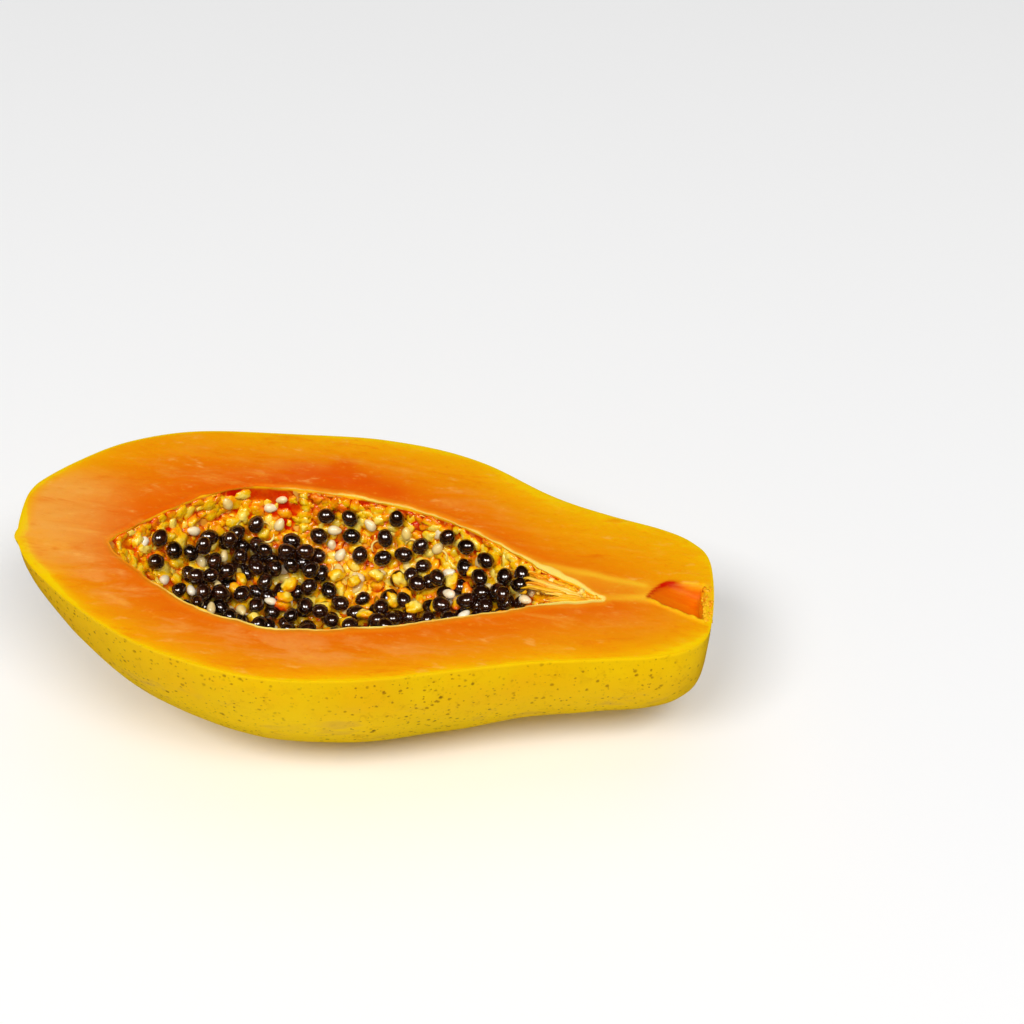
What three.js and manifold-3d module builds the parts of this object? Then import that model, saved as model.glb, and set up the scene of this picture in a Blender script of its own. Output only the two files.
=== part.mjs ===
// Half of a ripe papaya, cut lengthwise, with the seeds still in its cavity.
// Millimetres, +Z up. The fruit is shaped lying level, with the cut face at z = 0, the blossom
// tip at x = 0 and the stem end at x = FRUIT_LENGTH, and is then tipped into its resting pose.
import * as THREE from 'three';
import { mergeVertices } from 'three/addons/utils/BufferGeometryUtils.js';
import Module from 'manifold-3d';

const wasm = await Module();
wasm.setup();

// ---------------------------------------------------------------- driving dimensions
const FRUIT_LENGTH = 200;

// Body: [distance from the blossom tip, radius of the round section].
const BODY_PROFILE = [
  [0, 0], [0.8, 9], [3.5, 16.2], [11, 25.5], [24, 37], [42, 46.6], [64, 51.7], [86, 53.5],
  [108, 51.5], [130, 45.4], [150, 36.8], [168, 31.8], [184, 28.2], [193, 24], [198.2, 17],
  [FRUIT_LENGTH, 0],
];
// The core wanders sideways along the fruit: [distance, offset in y].
const CORE_BEND = [[0, 4.3], [4, 0.2], [25, 0], [70, -3.8], [100, -2], [128, -0.6], [160, -4.4], [200, -5]];
const KNIFE_TILT = THREE.MathUtils.degToRad(3.3); // angle between the cut and the core
const KNIFE_CROSSES_CORE_AT = 60;                 // distance where the cut meets the core
const RIB_COUNT = 5;
const RIB_HEIGHT = 0.4;
const NUB_AT = [1.8, -9];                         // blossom scar, x and y on the cut face
const NUB_SIZE = [1.3, 2.9, 2.6];                 // half sizes

// Seed cavity: [distance, half width at the cut face] and [distance, offset of its middle].
const CAVITY_PROFILE = [
  [27, 0], [30, 4.5], [40, 14], [50, 22], [62, 27.8], [80, 29.8], [100, 27.2], [120, 22],
  [140, 13], [152, 6.5], [162, 2.4], [168, 0],
];
const CAVITY_MIDDLE = [[27, -8.7], [40, -7.3], [60, -5.8], [80, -6.8], [120, -5.3], [145, -7.5], [168, -11]];
const CAVITY_DEPTH_RATIO = 0.98;                  // depth for each unit of half width

// Stem pit: half a cone in the cut face, its point towards the cavity.
const PIT_APEX_AT = 180.5;
const PIT_BASE_AT = 196.5;
const PIT_RADIUS = 7.2;
const PIT_MIDDLE = -7.9;
const PIT_DEPTH_RATIO = 0.75;

// Resting pose.
const REST_PITCH = THREE.MathUtils.degToRad(4.5); // the stem end lies lower
const FLAT_DEPTH = 0.8;                           // how far its own weight has flattened the skin

// Seeds: half sizes along, across and through, and how much slimmer the point is than the butt.
const DARK_SEED = { half: [2.75, 2.35, 2.15], taper: 0.1 };
const PALE_SEED = { half: [2.1, 1.4, 1.2], taper: 0.2 };
const SEED_GAP = 0.35;                            // to the wall and to each other
const HIGHEST_LIFT = 3;                           // how far a seed may lie above the wall
const LIFT_STEP = 0.25;
const TURN_STEP = 137.5;                          // degrees between one seed's turn and the next

// Places of the seeds on the wall: [distance from the blossom tip, degrees down from the far rim].
const DARK_SEED_PLACES = [
  // the far wall, under the rim
  [86, 13], [93, 12], [107, 6], [123, 11], [94, 25], [84, 27], [104, 23], [115, 25], [129, 14],
  [135, 22], [146, 24], [97, 37], [104, 38], [110, 34], [129, 37],
  // the heap towards the stem end
  [113, 50], [119, 54], [128, 58], [135, 46], [141, 38], [142, 84], [134, 82], [120, 78],
  // along the bottom
  [114, 85], [107, 67], [98, 79], [93, 72], [89, 62], [86, 51],
  // the heap towards the blossom end
  [80, 45], [76, 32], [66, 38], [65, 24], [59, 31], [51, 34], [75, 65], [73, 80], [58, 80],
  [52, 84], [47, 70], [42, 48], [38, 31], [38, 72],
];
const PALE_SEED_PLACES = [
  [89, 21], [99, 16], [110, 18], [120, 25], [103, 49], [97, 52], [91, 48], [91, 38], [124, 45],
  [126, 69], [56, 9], [72, 23], [75, 50], [47, 28], [50, 54], [61, 59],
];

// ---------------------------------------------------------------- materials
const matte = (name, color, roughness) =>
  new THREE.MeshStandardMaterial({ name, color, roughness, metalness: 0 });
const fleshMaterial = matte('ripe_flesh', '#ed890a', 0.45);
const darkSeedMaterial = matte('dark_seed_coat', '#1f0d04', 0.2);
const paleSeedMaterial = matte('pale_seed_coat', '#f4e2b8', 0.35);

// ---------------------------------------------------------------- helpers
const BODY_SEGMENTS = 72;
const BODY_STEPS = 60;
const CAVITY_SEGMENTS = 48;
const CAVITY_STEPS = 44;
const PIT_SEGMENTS = 24;
const NUB_SEGMENTS = [16, 10];
const LOOKUP_STEPS = 400;
const MERGE_DISTANCE = 1e-4;
const TANGENT_STEP = { x: 0.5, angle: 0.02 };     // for the slope of the cavity wall
const ON_FLAT = 0.01;                             // height within which a vertex is on the flat spot

/** A smooth curve through [x, value] points. */
const smooth = (points) => new THREE.SplineCurve(points.map(([x, v]) => new THREE.Vector2(x, v)));

/** The same curve as a function x -> value. */
function lookup(points) {
  const samples = smooth(points).getPoints(LOOKUP_STEPS);
  return (x) => {
    const next = samples.findIndex((p) => p.x >= x);
    if (next <= 0) return next === 0 ? samples[0].y : samples.at(-1).y;
    const [a, b] = [samples[next - 1], samples[next]];
    return a.y + ((x - a.x) / (b.x - a.x)) * (b.y - a.y);
  };
}

/** A closed round body along x whose radius follows the [x, radius] points. */
function roundBody(points, steps, segments) {
  const profile = smooth(points).getPoints(steps).map((p) => new THREE.Vector2(Math.max(p.y, 0), p.x));
  profile[0].x = 0;
  profile.at(-1).x = 0;
  return new THREE.LatheGeometry(profile, segments).rotateZ(-Math.PI / 2);
}

/** Moves every vertex of a geometry with shape(x, y, z) -> [x, y, z]. */
function reshape(geometry, shape) {
  const place = geometry.attributes.position;
  for (let i = 0; i < place.count; i += 1) {
    place.setXYZ(i, ...shape(place.getX(i), place.getY(i), place.getZ(i)));
  }
  return geometry;
}

/** A closed geometry as a manifold solid. */
function solid(geometry) {
  const bare = geometry.clone();
  bare.deleteAttribute('normal');
  bare.deleteAttribute('uv');
  const merged = mergeVertices(bare, MERGE_DISTANCE);
  const mesh = new wasm.Mesh({
    numProp: 3,
    vertProperties: new Float32Array(merged.attributes.position.array),
    triVerts: new Uint32Array(merged.index.array),
  });
  mesh.merge();
  return new wasm.Manifold(mesh);
}

/** A manifold solid as a geometry. */
function surface(manifold) {
  const { vertProperties, triVerts } = manifold.getMesh();
  const geometry = new THREE.BufferGeometry();
  geometry.setAttribute('position', new THREE.BufferAttribute(vertProperties, 3));
  geometry.setIndex(new THREE.BufferAttribute(triVerts, 1));
  geometry.computeVertexNormals();
  return geometry;
}

// ---------------------------------------------------------------- the fruit
const coreBend = lookup(CORE_BEND);
const coreDrop = (x) => Math.tan(KNIFE_TILT) * (x - KNIFE_CROSSES_CORE_AT);
const cavityHalfWidth = lookup(CAVITY_PROFILE);
const cavityMiddle = lookup(CAVITY_MIDDLE);

/** The whole body, faintly ribbed, its core bent sideways and tilted below the cut. */
function bodyShape() {
  return reshape(roundBody(BODY_PROFILE, BODY_STEPS, BODY_SEGMENTS), (x, y, z) => {
    const along = Math.sin((Math.PI * x) / FRUIT_LENGTH);
    const radius = Math.hypot(y, z);
    const height = -along * RIB_HEIGHT * Math.sin(RIB_COUNT * Math.atan2(z, y));
    const rib = 1 + height / Math.max(radius, 1);
    return [x, y * rib + coreBend(x), z * rib - coreDrop(x)];
  });
}

/** The small scar that the flower left on the blossom tip. */
function nubShape() {
  return new THREE.SphereGeometry(1, ...NUB_SEGMENTS).scale(...NUB_SIZE).translate(...NUB_AT, 0);
}

/** The hollow that holds the seeds, mirrored above the cut so that it opens cleanly. */
function cavityShape() {
  return reshape(roundBody(CAVITY_PROFILE, CAVITY_STEPS, CAVITY_SEGMENTS), (x, y, z) =>
    [x, y + cavityMiddle(x), z * CAVITY_DEPTH_RATIO]);
}

/** The pit where the stem was broken out. */
function stemPitShape() {
  const length = PIT_BASE_AT - PIT_APEX_AT;
  return new THREE.ConeGeometry(PIT_RADIUS, length, PIT_SEGMENTS)
    .rotateZ(Math.PI / 2)
    .scale(1, 1, PIT_DEPTH_RATIO)
    .translate((PIT_APEX_AT + PIT_BASE_AT) / 2, PIT_MIDDLE, 0);
}

/** A block that fills everything above the cut. */
function aboveTheCut() {
  const size = 2 * FRUIT_LENGTH;
  return new THREE.BoxGeometry(size, size, size).translate(FRUIT_LENGTH / 2, 0, size / 2);
}

const whole = solid(bodyShape()).add(solid(nubShape()));
const cutHalf = whole
  .subtract(solid(aboveTheCut()))
  .subtract(solid(cavityShape()))
  .subtract(solid(stemPitShape()));

// ---------------------------------------------------------------- the resting pose
// The direction that points up once the fruit is tipped into its resting pose.
const up = new THREE.Vector3(-Math.sin(REST_PITCH), 0, Math.cos(REST_PITCH));

/** Vertices of a solid, as vectors. */
function vertices(manifold) {
  const { vertProperties } = manifold.getMesh();
  const list = [];
  for (let i = 0; i < vertProperties.length; i += 3) {
    list.push(new THREE.Vector3(vertProperties[i], vertProperties[i + 1], vertProperties[i + 2]));
  }
  return list;
}

const heights = vertices(cutHalf).map((v) => v.dot(up));
const groundHeight = Math.min(...heights) + FLAT_DEPTH;
const groundBlock = new THREE.BoxGeometry(3 * FRUIT_LENGTH, FRUIT_LENGTH, FRUIT_LENGTH)
  .translate(0, 0, -FRUIT_LENGTH / 2)
  .rotateY(-REST_PITCH)
  .translate(...up.clone().multiplyScalar(groundHeight).toArray());
const half = cutHalf.subtract(solid(groundBlock));

/** The middle of the flat spot that the fruit rests on. */
function flatMiddle() {
  const onFlat = vertices(half).filter((v) => Math.abs(v.dot(up) - groundHeight) < ON_FLAT);
  return new THREE.Box3().setFromPoints(onFlat).getCenter(new THREE.Vector3());
}

// ---------------------------------------------------------------- the seeds
/** A point of the cavity wall and the direction from it into the hollow. */
function wallAt(x, angle) {
  const at = (distance, turn) => {
    const r = cavityHalfWidth(distance);
    return new THREE.Vector3(
      distance,
      cavityMiddle(distance) + r * Math.cos(turn),
      -r * CAVITY_DEPTH_RATIO * Math.sin(turn),
    );
  };
  const point = at(x, angle);
  const { x: dx, angle: da } = TANGENT_STEP;
  const alongWall = at(x + dx, angle).sub(at(x - dx, angle)).normalize();
  const roundWall = at(x, angle + da).sub(at(x, angle - da)).normalize();
  const inward = new THREE.Vector3().crossVectors(roundWall, alongWall).normalize();
  return { point, alongWall, inward };
}

/** An egg-shaped seed about the origin, blunt at one end, its thickness along z. */
function seedShape({ half: [a, b, c], taper }) {
  const egg = mergeVertices(new THREE.IcosahedronGeometry(1, 1).deleteAttribute('uv'), MERGE_DISTANCE);
  egg.deleteAttribute('normal');
  reshape(egg, (x, y, z) => {
    const slim = 1 - taper * x;
    return [a * x, b * y * slim, c * z * slim];
  });
  egg.computeVertexNormals();
  return egg;
}

/** How far a seed reaches from its middle in a direction. */
function reach({ kind, axes }, direction) {
  const fat = [1, 1 + kind.taper, 1 + kind.taper];
  return Math.hypot(...axes.map((axis, i) => kind.half[i] * fat[i] * axis.dot(direction)));
}

/** Whether two seeds come closer than the gap between them allows. */
function crowd(seed, other) {
  const between = other.middle.clone().sub(seed.middle);
  const distance = between.length();
  between.normalize();
  return distance < reach(seed, between) + reach(other, between) + SEED_GAP;
}

const laid = [];

/** A seed laid on the wall, or on the seeds that already lie there. */
function laySeed(kind, [x, degrees], index) {
  const { point, alongWall, inward } = wallAt(x, THREE.MathUtils.degToRad(degrees));
  const turn = THREE.MathUtils.degToRad((index * TURN_STEP) % 180);
  const long = alongWall.clone().applyAxisAngle(inward, turn);
  const axes = [long, new THREE.Vector3().crossVectors(inward, long), inward];
  const seed = { kind, axes, middle: point.clone() };
  const onWall = reach(seed, inward) + SEED_GAP;
  for (let lift = 0; lift <= HIGHEST_LIFT; lift += LIFT_STEP) {
    seed.middle.copy(point).addScaledVector(inward, onWall + lift);
    if (!laid.some((other) => crowd(seed, other))) break;
  }
  laid.push(seed);
  return seed;
}

/** The mesh of a laid seed. */
function seedMesh(seed, shape, material, name) {
  const mesh = new THREE.Mesh(shape, material);
  mesh.name = name;
  mesh.position.copy(seed.middle);
  mesh.quaternion.setFromRotationMatrix(new THREE.Matrix4().makeBasis(...seed.axes));
  return mesh;
}

const twoDigits = (index) => String(index + 1).padStart(2, '0');
const darkSeedShape = seedShape(DARK_SEED);
const paleSeedShape = seedShape(PALE_SEED);
const darkSeeds = DARK_SEED_PLACES.map((place, i) =>
  seedMesh(laySeed(DARK_SEED, place, i), darkSeedShape, darkSeedMaterial, `dark_seed_${twoDigits(i)}`));
const paleSeeds = PALE_SEED_PLACES.map((place, i) =>
  seedMesh(laySeed(PALE_SEED, place, i), paleSeedShape, paleSeedMaterial, `pale_seed_${twoDigits(i)}`));

// ---------------------------------------------------------------- the scene graph
const papayaHalf = new THREE.Mesh(surface(half), fleshMaterial);
papayaHalf.name = 'papaya_half';

// The origin of the resting fruit is the middle of its flat spot.
const fruit = new THREE.Group();
fruit.add(papayaHalf, ...darkSeeds, ...paleSeeds);
fruit.rotation.y = REST_PITCH;
fruit.position.copy(flatMiddle().applyEuler(fruit.rotation).negate());

const papaya = new THREE.Group();
papaya.add(fruit);
export default papaya;
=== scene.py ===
# %% [markdown]
# # Half a ripe papaya
# This lesson dresses one half of a papaya, cut lengthwise: a thin yellow skin, orange flesh, a wet
# hollow lined with pulp, and a heap of seeds. The solids of the frame say where everything is. The
# frame comes first, because every piece below takes its place from it.

# %% Load the frame
import math

import bpy
import numpy as np
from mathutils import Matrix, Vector


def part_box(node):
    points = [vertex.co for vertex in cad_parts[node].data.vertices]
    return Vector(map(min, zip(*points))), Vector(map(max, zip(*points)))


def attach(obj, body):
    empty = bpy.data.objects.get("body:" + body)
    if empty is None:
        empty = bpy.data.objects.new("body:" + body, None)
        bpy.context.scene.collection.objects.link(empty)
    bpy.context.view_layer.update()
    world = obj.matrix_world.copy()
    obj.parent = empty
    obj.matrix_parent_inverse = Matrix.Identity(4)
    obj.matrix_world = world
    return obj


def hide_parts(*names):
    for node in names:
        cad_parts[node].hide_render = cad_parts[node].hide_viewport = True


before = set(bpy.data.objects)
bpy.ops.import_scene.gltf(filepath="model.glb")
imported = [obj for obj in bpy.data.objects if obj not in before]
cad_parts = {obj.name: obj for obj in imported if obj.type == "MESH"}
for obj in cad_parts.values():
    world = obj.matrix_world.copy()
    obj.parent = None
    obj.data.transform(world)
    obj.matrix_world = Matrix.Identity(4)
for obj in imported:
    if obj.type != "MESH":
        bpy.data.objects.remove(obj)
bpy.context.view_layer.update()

seed_nodes = sorted(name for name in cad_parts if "seed" in name)
print("the frame has", len(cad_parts), "nodes,", len(seed_nodes), "of them seeds")

# %% [markdown]
# ## Camera
# A half fruit on a table is looked down on. A long lens keeps the cut face from looking stretched.
# The camera stands back from a point of the fruit, in a direction given by azimuth and elevation.

# %% Camera
CAMERA_AZIMUTH, CAMERA_ELEVATION = math.radians(3.9), math.radians(39.7)
CAMERA_DISTANCE = 0.705
LOOK_AT = np.array([0.0419, 0.0222, 0.0536])
LENS_MM, SENSOR_MM, FARTHEST_SEEN = 85, 36, 20


def direction(azimuth, elevation):
    """Unit vector from the object to a viewer. Azimuth 0 looks along +Y, 90 degrees along -X."""
    flat = math.cos(elevation)
    return np.array([flat * math.sin(azimuth), -flat * math.cos(azimuth), math.sin(elevation)])


def look(obj, place, target):
    """Sets an object at a place with its -Z axis towards the target and its Y axis up."""
    obj.location = place
    obj.rotation_euler = (Vector(target) - Vector(place)).to_track_quat("-Z", "Y").to_euler()


camera_data = bpy.data.cameras.new("camera")
camera_data.lens, camera_data.sensor_width = LENS_MM, SENSOR_MM
camera_data.clip_end = FARTHEST_SEEN
camera = bpy.data.objects.new("camera", camera_data)
bpy.context.collection.objects.link(camera)
look(camera, LOOK_AT + CAMERA_DISTANCE * direction(CAMERA_AZIMUTH, CAMERA_ELEVATION), LOOK_AT)
bpy.context.scene.camera = camera
print("camera at", [round(c, 3) for c in camera.location])

# %% [markdown]
# ## The fruit as a formula
# A grown shape is easiest to hold as a few curves along its length. The body has round sections, so
# one curve gives their radius. A second lets the core wander sideways, and because the knife was
# tilted, the core sinks steadily below the cut. The hollow has two more, its half width and its
# middle. All are smooth curves through a few points, in millimetres from the blossom tip.

# %% Curves along the fruit
MM = 0.001
FRUIT_LENGTH = 200.0
BODY_PROFILE = [
    (0, 0), (0.8, 9), (3.5, 16.2), (11, 25.5), (24, 37), (42, 46.6), (64, 51.7), (86, 53.5),
    (108, 51.5), (130, 45.4), (150, 36.8), (168, 31.8), (184, 28.2), (193, 24), (198.2, 17),
    (FRUIT_LENGTH, 0),
]
CORE_BEND = [(0, 4.3), (4, 0.2), (25, 0), (70, -3.8), (100, -2), (128, -0.6), (160, -4.4), (200, -5)]
KNIFE_TILT = math.radians(3.3)
KNIFE_CROSSES_CORE_AT = 60
RIB_COUNT, RIB_HEIGHT = 5, 0.4
NUB_AT, NUB_SIZE = np.array([1.8, -9, 0]), np.array([1.3, 2.9, 2.6])
CAVITY_PROFILE = [
    (27, 0), (30, 4.5), (40, 14), (50, 22), (62, 27.8), (80, 29.8), (100, 27.2), (120, 22),
    (140, 13), (152, 6.5), (162, 2.4), (168, 0),
]
CAVITY_MIDDLE = [(27, -8.7), (40, -7.3), (60, -5.8), (80, -6.8), (120, -5.3), (145, -7.5), (168, -11)]
CAVITY_DEPTH_RATIO = 0.98
REST_PITCH = math.radians(4.5)
FLAT_DEPTH = 0.8
CURVE_SAMPLES = 401


def along(points, outside=None):
    """A smooth curve through points (x, value) as a function of x. Past its ends it gives outside
    or, without that, the value at the end. Between two points it is the cubic whose slopes at them
    are half the step between their neighbours, and the ends are their own outer neighbours."""
    knots = np.asarray(points, float)
    last = len(knots) - 1
    t = np.linspace(0, last, CURVE_SAMPLES)
    i = np.minimum(t.astype(int), last)
    w = (t - i)[:, None]
    before, here, after, beyond = (knots[np.clip(i + k, 0, last)] for k in (-1, 0, 1, 2))
    slope_here, slope_after = (after - before) / 2, (beyond - here) / 2
    cubic = 2 * here - 2 * after + slope_here + slope_after
    square = -3 * here + 3 * after - 2 * slope_here - slope_after
    curve = cubic * w**3 + square * w**2 + slope_here * w + here
    return lambda x: np.interp(x, curve[:, 0], curve[:, 1], left=outside, right=outside)


body_radius, cavity_half_width = along(BODY_PROFILE, -1), along(CAVITY_PROFILE, -1)
core_bend, cavity_middle = along(CORE_BEND), along(CAVITY_MIDDLE)


def body_gap(p):
    """Below 0 inside the whole fruit: the distance from the core less the ribbed radius, joined
    with the small egg-shaped scar of the flower at the tip."""
    x = p[..., 0]
    y = p[..., 1] - core_bend(x)
    z = p[..., 2] + np.tan(KNIFE_TILT) * (x - KNIFE_CROSSES_CORE_AT)  # the core lies below the cut
    waist = np.sin(np.pi * np.clip(x / FRUIT_LENGTH, 0, 1))
    rib = -waist * RIB_HEIGHT * np.sin(RIB_COUNT * np.arctan2(z, y))
    body = np.hypot(y, z) - body_radius(x) - rib
    nub = np.linalg.norm((p - NUB_AT) / NUB_SIZE, axis=-1) - 1
    return np.minimum(body, nub)


def cavity_gap(p):
    """Below 0 inside the hollow: the distance from its middle line, with depth counted fuller, less
    its half width."""
    x = p[..., 0]
    return np.hypot(p[..., 1] - cavity_middle(x), p[..., 2] / CAVITY_DEPTH_RATIO) - cavity_half_width(x)


print("body radius in the middle", float(body_radius(86.0)), "mm")

# %% [markdown]
# Both surfaces can be seen whole from one point on the cut, so a surface point is found by walking
# out from that point until the gap changes sign. Halving the stretch thirty-odd times is exact
# enough, and numpy does it for all directions at once.

# %% Walking out to a surface
HUB = np.array([88.0, -5.0, 0.0])
REACH = 170.0
HALVINGS = 34
COLUMNS = 512
FINE = 2880


def heading(azimuth, dip):
    """Unit vectors: azimuth turns round the vertical, dip points down from the cut plane."""
    flat = np.cos(dip)
    return np.stack([flat * np.cos(azimuth), flat * np.sin(azimuth), -np.sin(dip) + 0 * azimuth], -1)


def shoot(gap, headings):
    """Where rays from the hub leave the shape: the middle of the last stretch that crosses it."""
    near = np.zeros(headings.shape[:-1])
    far = np.full_like(near, REACH)
    for _ in range(HALVINGS):
        middle = (near + far) / 2
        inside = gap(HUB + middle[..., None] * headings) < 0
        near, far = np.where(inside, middle, near), np.where(inside, far, middle)
    return HUB + ((near + far) / 2)[..., None] * headings


def path_length(points):
    """Length run so far along rows of points, starting at 0."""
    steps = np.linalg.norm(np.diff(points, axis=0), axis=-1)
    return np.concatenate([np.zeros_like(steps[:1]), np.cumsum(steps, axis=0)])


def spread_azimuths():
    """Azimuths whose steps are even along the skin's edge and the rim of the hollow together."""
    azimuth = np.linspace(-np.pi, np.pi, FINE + 1)
    level_headings = heading(azimuth, np.zeros_like(azimuth))
    lengths = [path_length(shoot(gap, level_headings)) for gap in (body_gap, cavity_gap)]
    share = sum(length / length[-1] for length in lengths)
    return np.interp(np.arange(COLUMNS) * share[-1] / COLUMNS, share, azimuth)


azimuths = spread_azimuths()
steps = np.degrees(np.diff(azimuths))
print("columns are", steps.min().round(2), "to", steps.max().round(2), "degrees apart")

# %% [markdown]
# The fruit lies tipped, with the stem end lower, so everything is worked out level and then turned.
# The turned shape is set over its solid by the middle of the box in x and y, and by its top in z.

# %% From the level fruit to its place
SKIN_ROWS = 74
DIP_STEPS = 241
TURN = np.array([
    [math.cos(REST_PITCH), 0, math.sin(REST_PITCH)],
    [0, 1, 0],
    [-math.sin(REST_PITCH), 0, math.cos(REST_PITCH)],
])
UP = TURN[2]


def bowl(gap, rows):
    """A grid of points on the part of a surface below the cut, from its edge to straight under the
    hub, with the rows even along each column."""
    dip = np.linspace(0, np.pi / 2, DIP_STEPS)
    length = path_length(shoot(gap, heading(azimuths[None, :], dip[:, None])))
    length /= length[-1]
    dips = np.stack([np.interp(np.linspace(0, 1, rows), column, dip) for column in length.T], 1)
    return shoot(gap, heading(azimuths[None, :], dips))


skin_level = bowl(body_gap, SKIN_ROWS)
ground = (skin_level @ UP).min() + FLAT_DEPTH
skin_turned = (skin_level @ TURN.T).reshape(-1, 3)
shape_box = np.stack([skin_turned.min(0), skin_turned.max(0)])
solid_box = np.array(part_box("papaya_half")) / MM
SHIFT = (solid_box.mean(0) - shape_box.mean(0)) * [1, 1, 0]
SHIFT[2] = solid_box[1, 2] - shape_box[1, 2]
print("the level fruit moves by", SHIFT.round(2), "mm; ground by formula", round(-float(ground), 2))


def place(points):
    """Level millimetres to the frame's metres."""
    return (points @ TURN.T + SHIFT) * MM


def level(points):
    """The frame's metres back to level millimetres."""
    return (points / MM - SHIFT) @ TURN


# %% [markdown]
# ## Unevenness
# Nothing grown is exact. Smooth noise gives every corner of a lattice a random value and blends
# between them. Cell noise scatters one point in each lattice cell and measures the distance to the
# nearest, which makes packed grains. Both hash the lattice numbers, so every run gives the same.

# %% Noise on arrays of points
def lattice_random(cells, seed):
    """A value from 0 to 1 for each whole-numbered cell: the three numbers are multiplied by large
    primes, joined and scrambled."""
    c = cells.astype(np.int64)
    h = (c[..., 0] * 73856093) ^ (c[..., 1] * 19349663) ^ (c[..., 2] * 83492791) ^ (seed * 2654435761)
    for shift, factor in ((13, 1274126177), (16, 1911520717)):
        h = (((h ^ (h >> shift)) & 0xFFFFFFFF) * factor) & 0xFFFFFFFF
    return ((h ^ (h >> 15)) & 0xFFFFFF) / 0xFFFFFF


def smooth_noise(p, size, seed=0):
    """From -1 to 1: the eight corner values of the cell, weighted by 3w^2 - 2w^3 along each axis."""
    q = p / size
    cell = np.floor(q)
    w = q - cell
    w = w * w * (3 - 2 * w)
    total = 0
    for corner in np.ndindex(2, 2, 2):
        weight = np.prod(np.where(corner, w, 1 - w), -1)
        total = total + weight * lattice_random(cell + corner, seed)
    return 2 * total - 1


def rough_noise(p, size, seed=0, octaves=3):
    """Smooth noise, plus itself at half the size and half the height, and so on."""
    return sum(smooth_noise(p, size / 2**k, seed + k) / 2**k for k in range(octaves))


def cell_noise(p, size, seed):
    """Distance to the nearest scattered point, in cells, and a random value that belongs to it."""
    q = p / size
    home = np.floor(q)
    nearest = np.full(q.shape[:-1], 9.0)
    owner = np.zeros_like(nearest)
    for step in np.ndindex(3, 3, 3):
        cell = home + np.array(step) - 1
        point = cell + np.stack([lattice_random(cell, seed + k) for k in range(3)], -1)
        distance = np.linalg.norm(q - point, axis=-1)
        closer = distance < nearest
        owner = np.where(closer, lattice_random(cell, seed + 7), owner)
        nearest = np.where(closer, distance, nearest)
    return nearest, owner


def rise(low, high, value):
    """0 at low, 1 at high and past it, and a smooth change between them. It falls from 1 to 0
    where low is the greater."""
    t = np.clip((value - low) / (high - low), 0, 1)
    return t * t * (3 - 2 * t)


def bell(distance):
    """1 at distance 0, falling off to both sides as the normal curve does."""
    return np.exp(-(distance**2))


def unit(vectors):
    """The vectors made 1 long."""
    return vectors / np.maximum(np.linalg.norm(vectors, axis=-1, keepdims=True), 1e-9)


spread = rough_noise(skin_level, 8.0)
print("noise spreads over", spread.min().round(2), "to", spread.max().round(2))

# %% [markdown]
# ## The body
# The flesh, the skin and the wall of the hollow are one grown thing, so they are one closed mesh.
# Rings of points run up the wall of the hollow, across the cut and down the skin, and meet at a
# single point at either end. The wall is not smooth: packed grains of pulp swell out of it. The cut
# is nearly flat, with faint waves left by the knife, and its torn edge along the hollow wanders.

# %% The stem pit
PIT_APEX_AT, PIT_BASE_AT = 180.5, 196.5
PIT_RADIUS = 7.2
PIT_MIDDLE = -7.9
PIT_DEPTH_RATIO = 0.75
FAR_SIDE_OPEN_BY = 0.45  # share of the run
LIP_HEIGHT, LIP_OFFSET, LIP_WIDTH = 0.6, 0.7, 0.65
END_HEIGHT, END_OFFSET, END_WIDTH = 0.5, 0.9, 0.7


def pit_sides(run):
    """How far the pit reaches to its far and near side: the far side opens fast and then runs on
    straight, the near side opens steadily."""
    far_side = PIT_RADIUS * (1 - (1 - np.clip(run / FAR_SIDE_OPEN_BY, 0, 1)) ** 2)
    return far_side, PIT_RADIUS * np.clip(run, 0, 1) ** 0.85


def pit_across(p):
    """Run from the pit's apex, 0, to its end wall, 1, and the place across it, from -1 at the near
    side to 1 at the far side."""
    run = (p[..., 0] - PIT_APEX_AT) / (PIT_BASE_AT - PIT_APEX_AT)
    far_side, near_side = pit_sides(run)
    aside = p[..., 1] - PIT_MIDDLE
    return run, aside / np.maximum(np.where(aside > 0, far_side, near_side), 1e-6)


def pit_depth(p):
    """Depth of the stem pit below the cut: at each run a rounded trough, deepest in the middle,
    whose floor falls away from the apex until a steep wall ends it."""
    run, across = pit_across(p)
    floor = PIT_DEPTH_RATIO * PIT_RADIUS * np.clip(run, 0, 1) ** 0.8 * rise(1.02, 0.96, run)
    return floor * np.clip(1 - np.abs(across) ** 2.4, 0, 1) ** 0.6


def pit_lip_height(p):
    """A raised wavy lip along the near side of the pit and round its end: a bell curve over the
    distance from the pit's side, as high as slow noise makes it."""
    run, across = pit_across(p)
    beyond = np.abs(p[..., 1] - PIT_MIDDLE + pit_sides(run)[1] + LIP_OFFSET)
    lip = bell(beyond / LIP_WIDTH) * rise(-0.05, 0.1, run) * rise(1.05, 0.98, run)
    end = bell((p[..., 0] - PIT_BASE_AT - END_OFFSET) / END_WIDTH) * rise(1.15, 0.9, np.abs(across))
    return (LIP_HEIGHT * lip + END_HEIGHT * end) * (1 + 0.7 * smooth_noise(p, 1.5, seed=15))


deepest = pit_depth(np.array([[PIT_BASE_AT - 0.7, PIT_MIDDLE, 0]]))
print("the pit is", float(deepest[0].round(2)), "mm deep just before its end wall")

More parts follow.
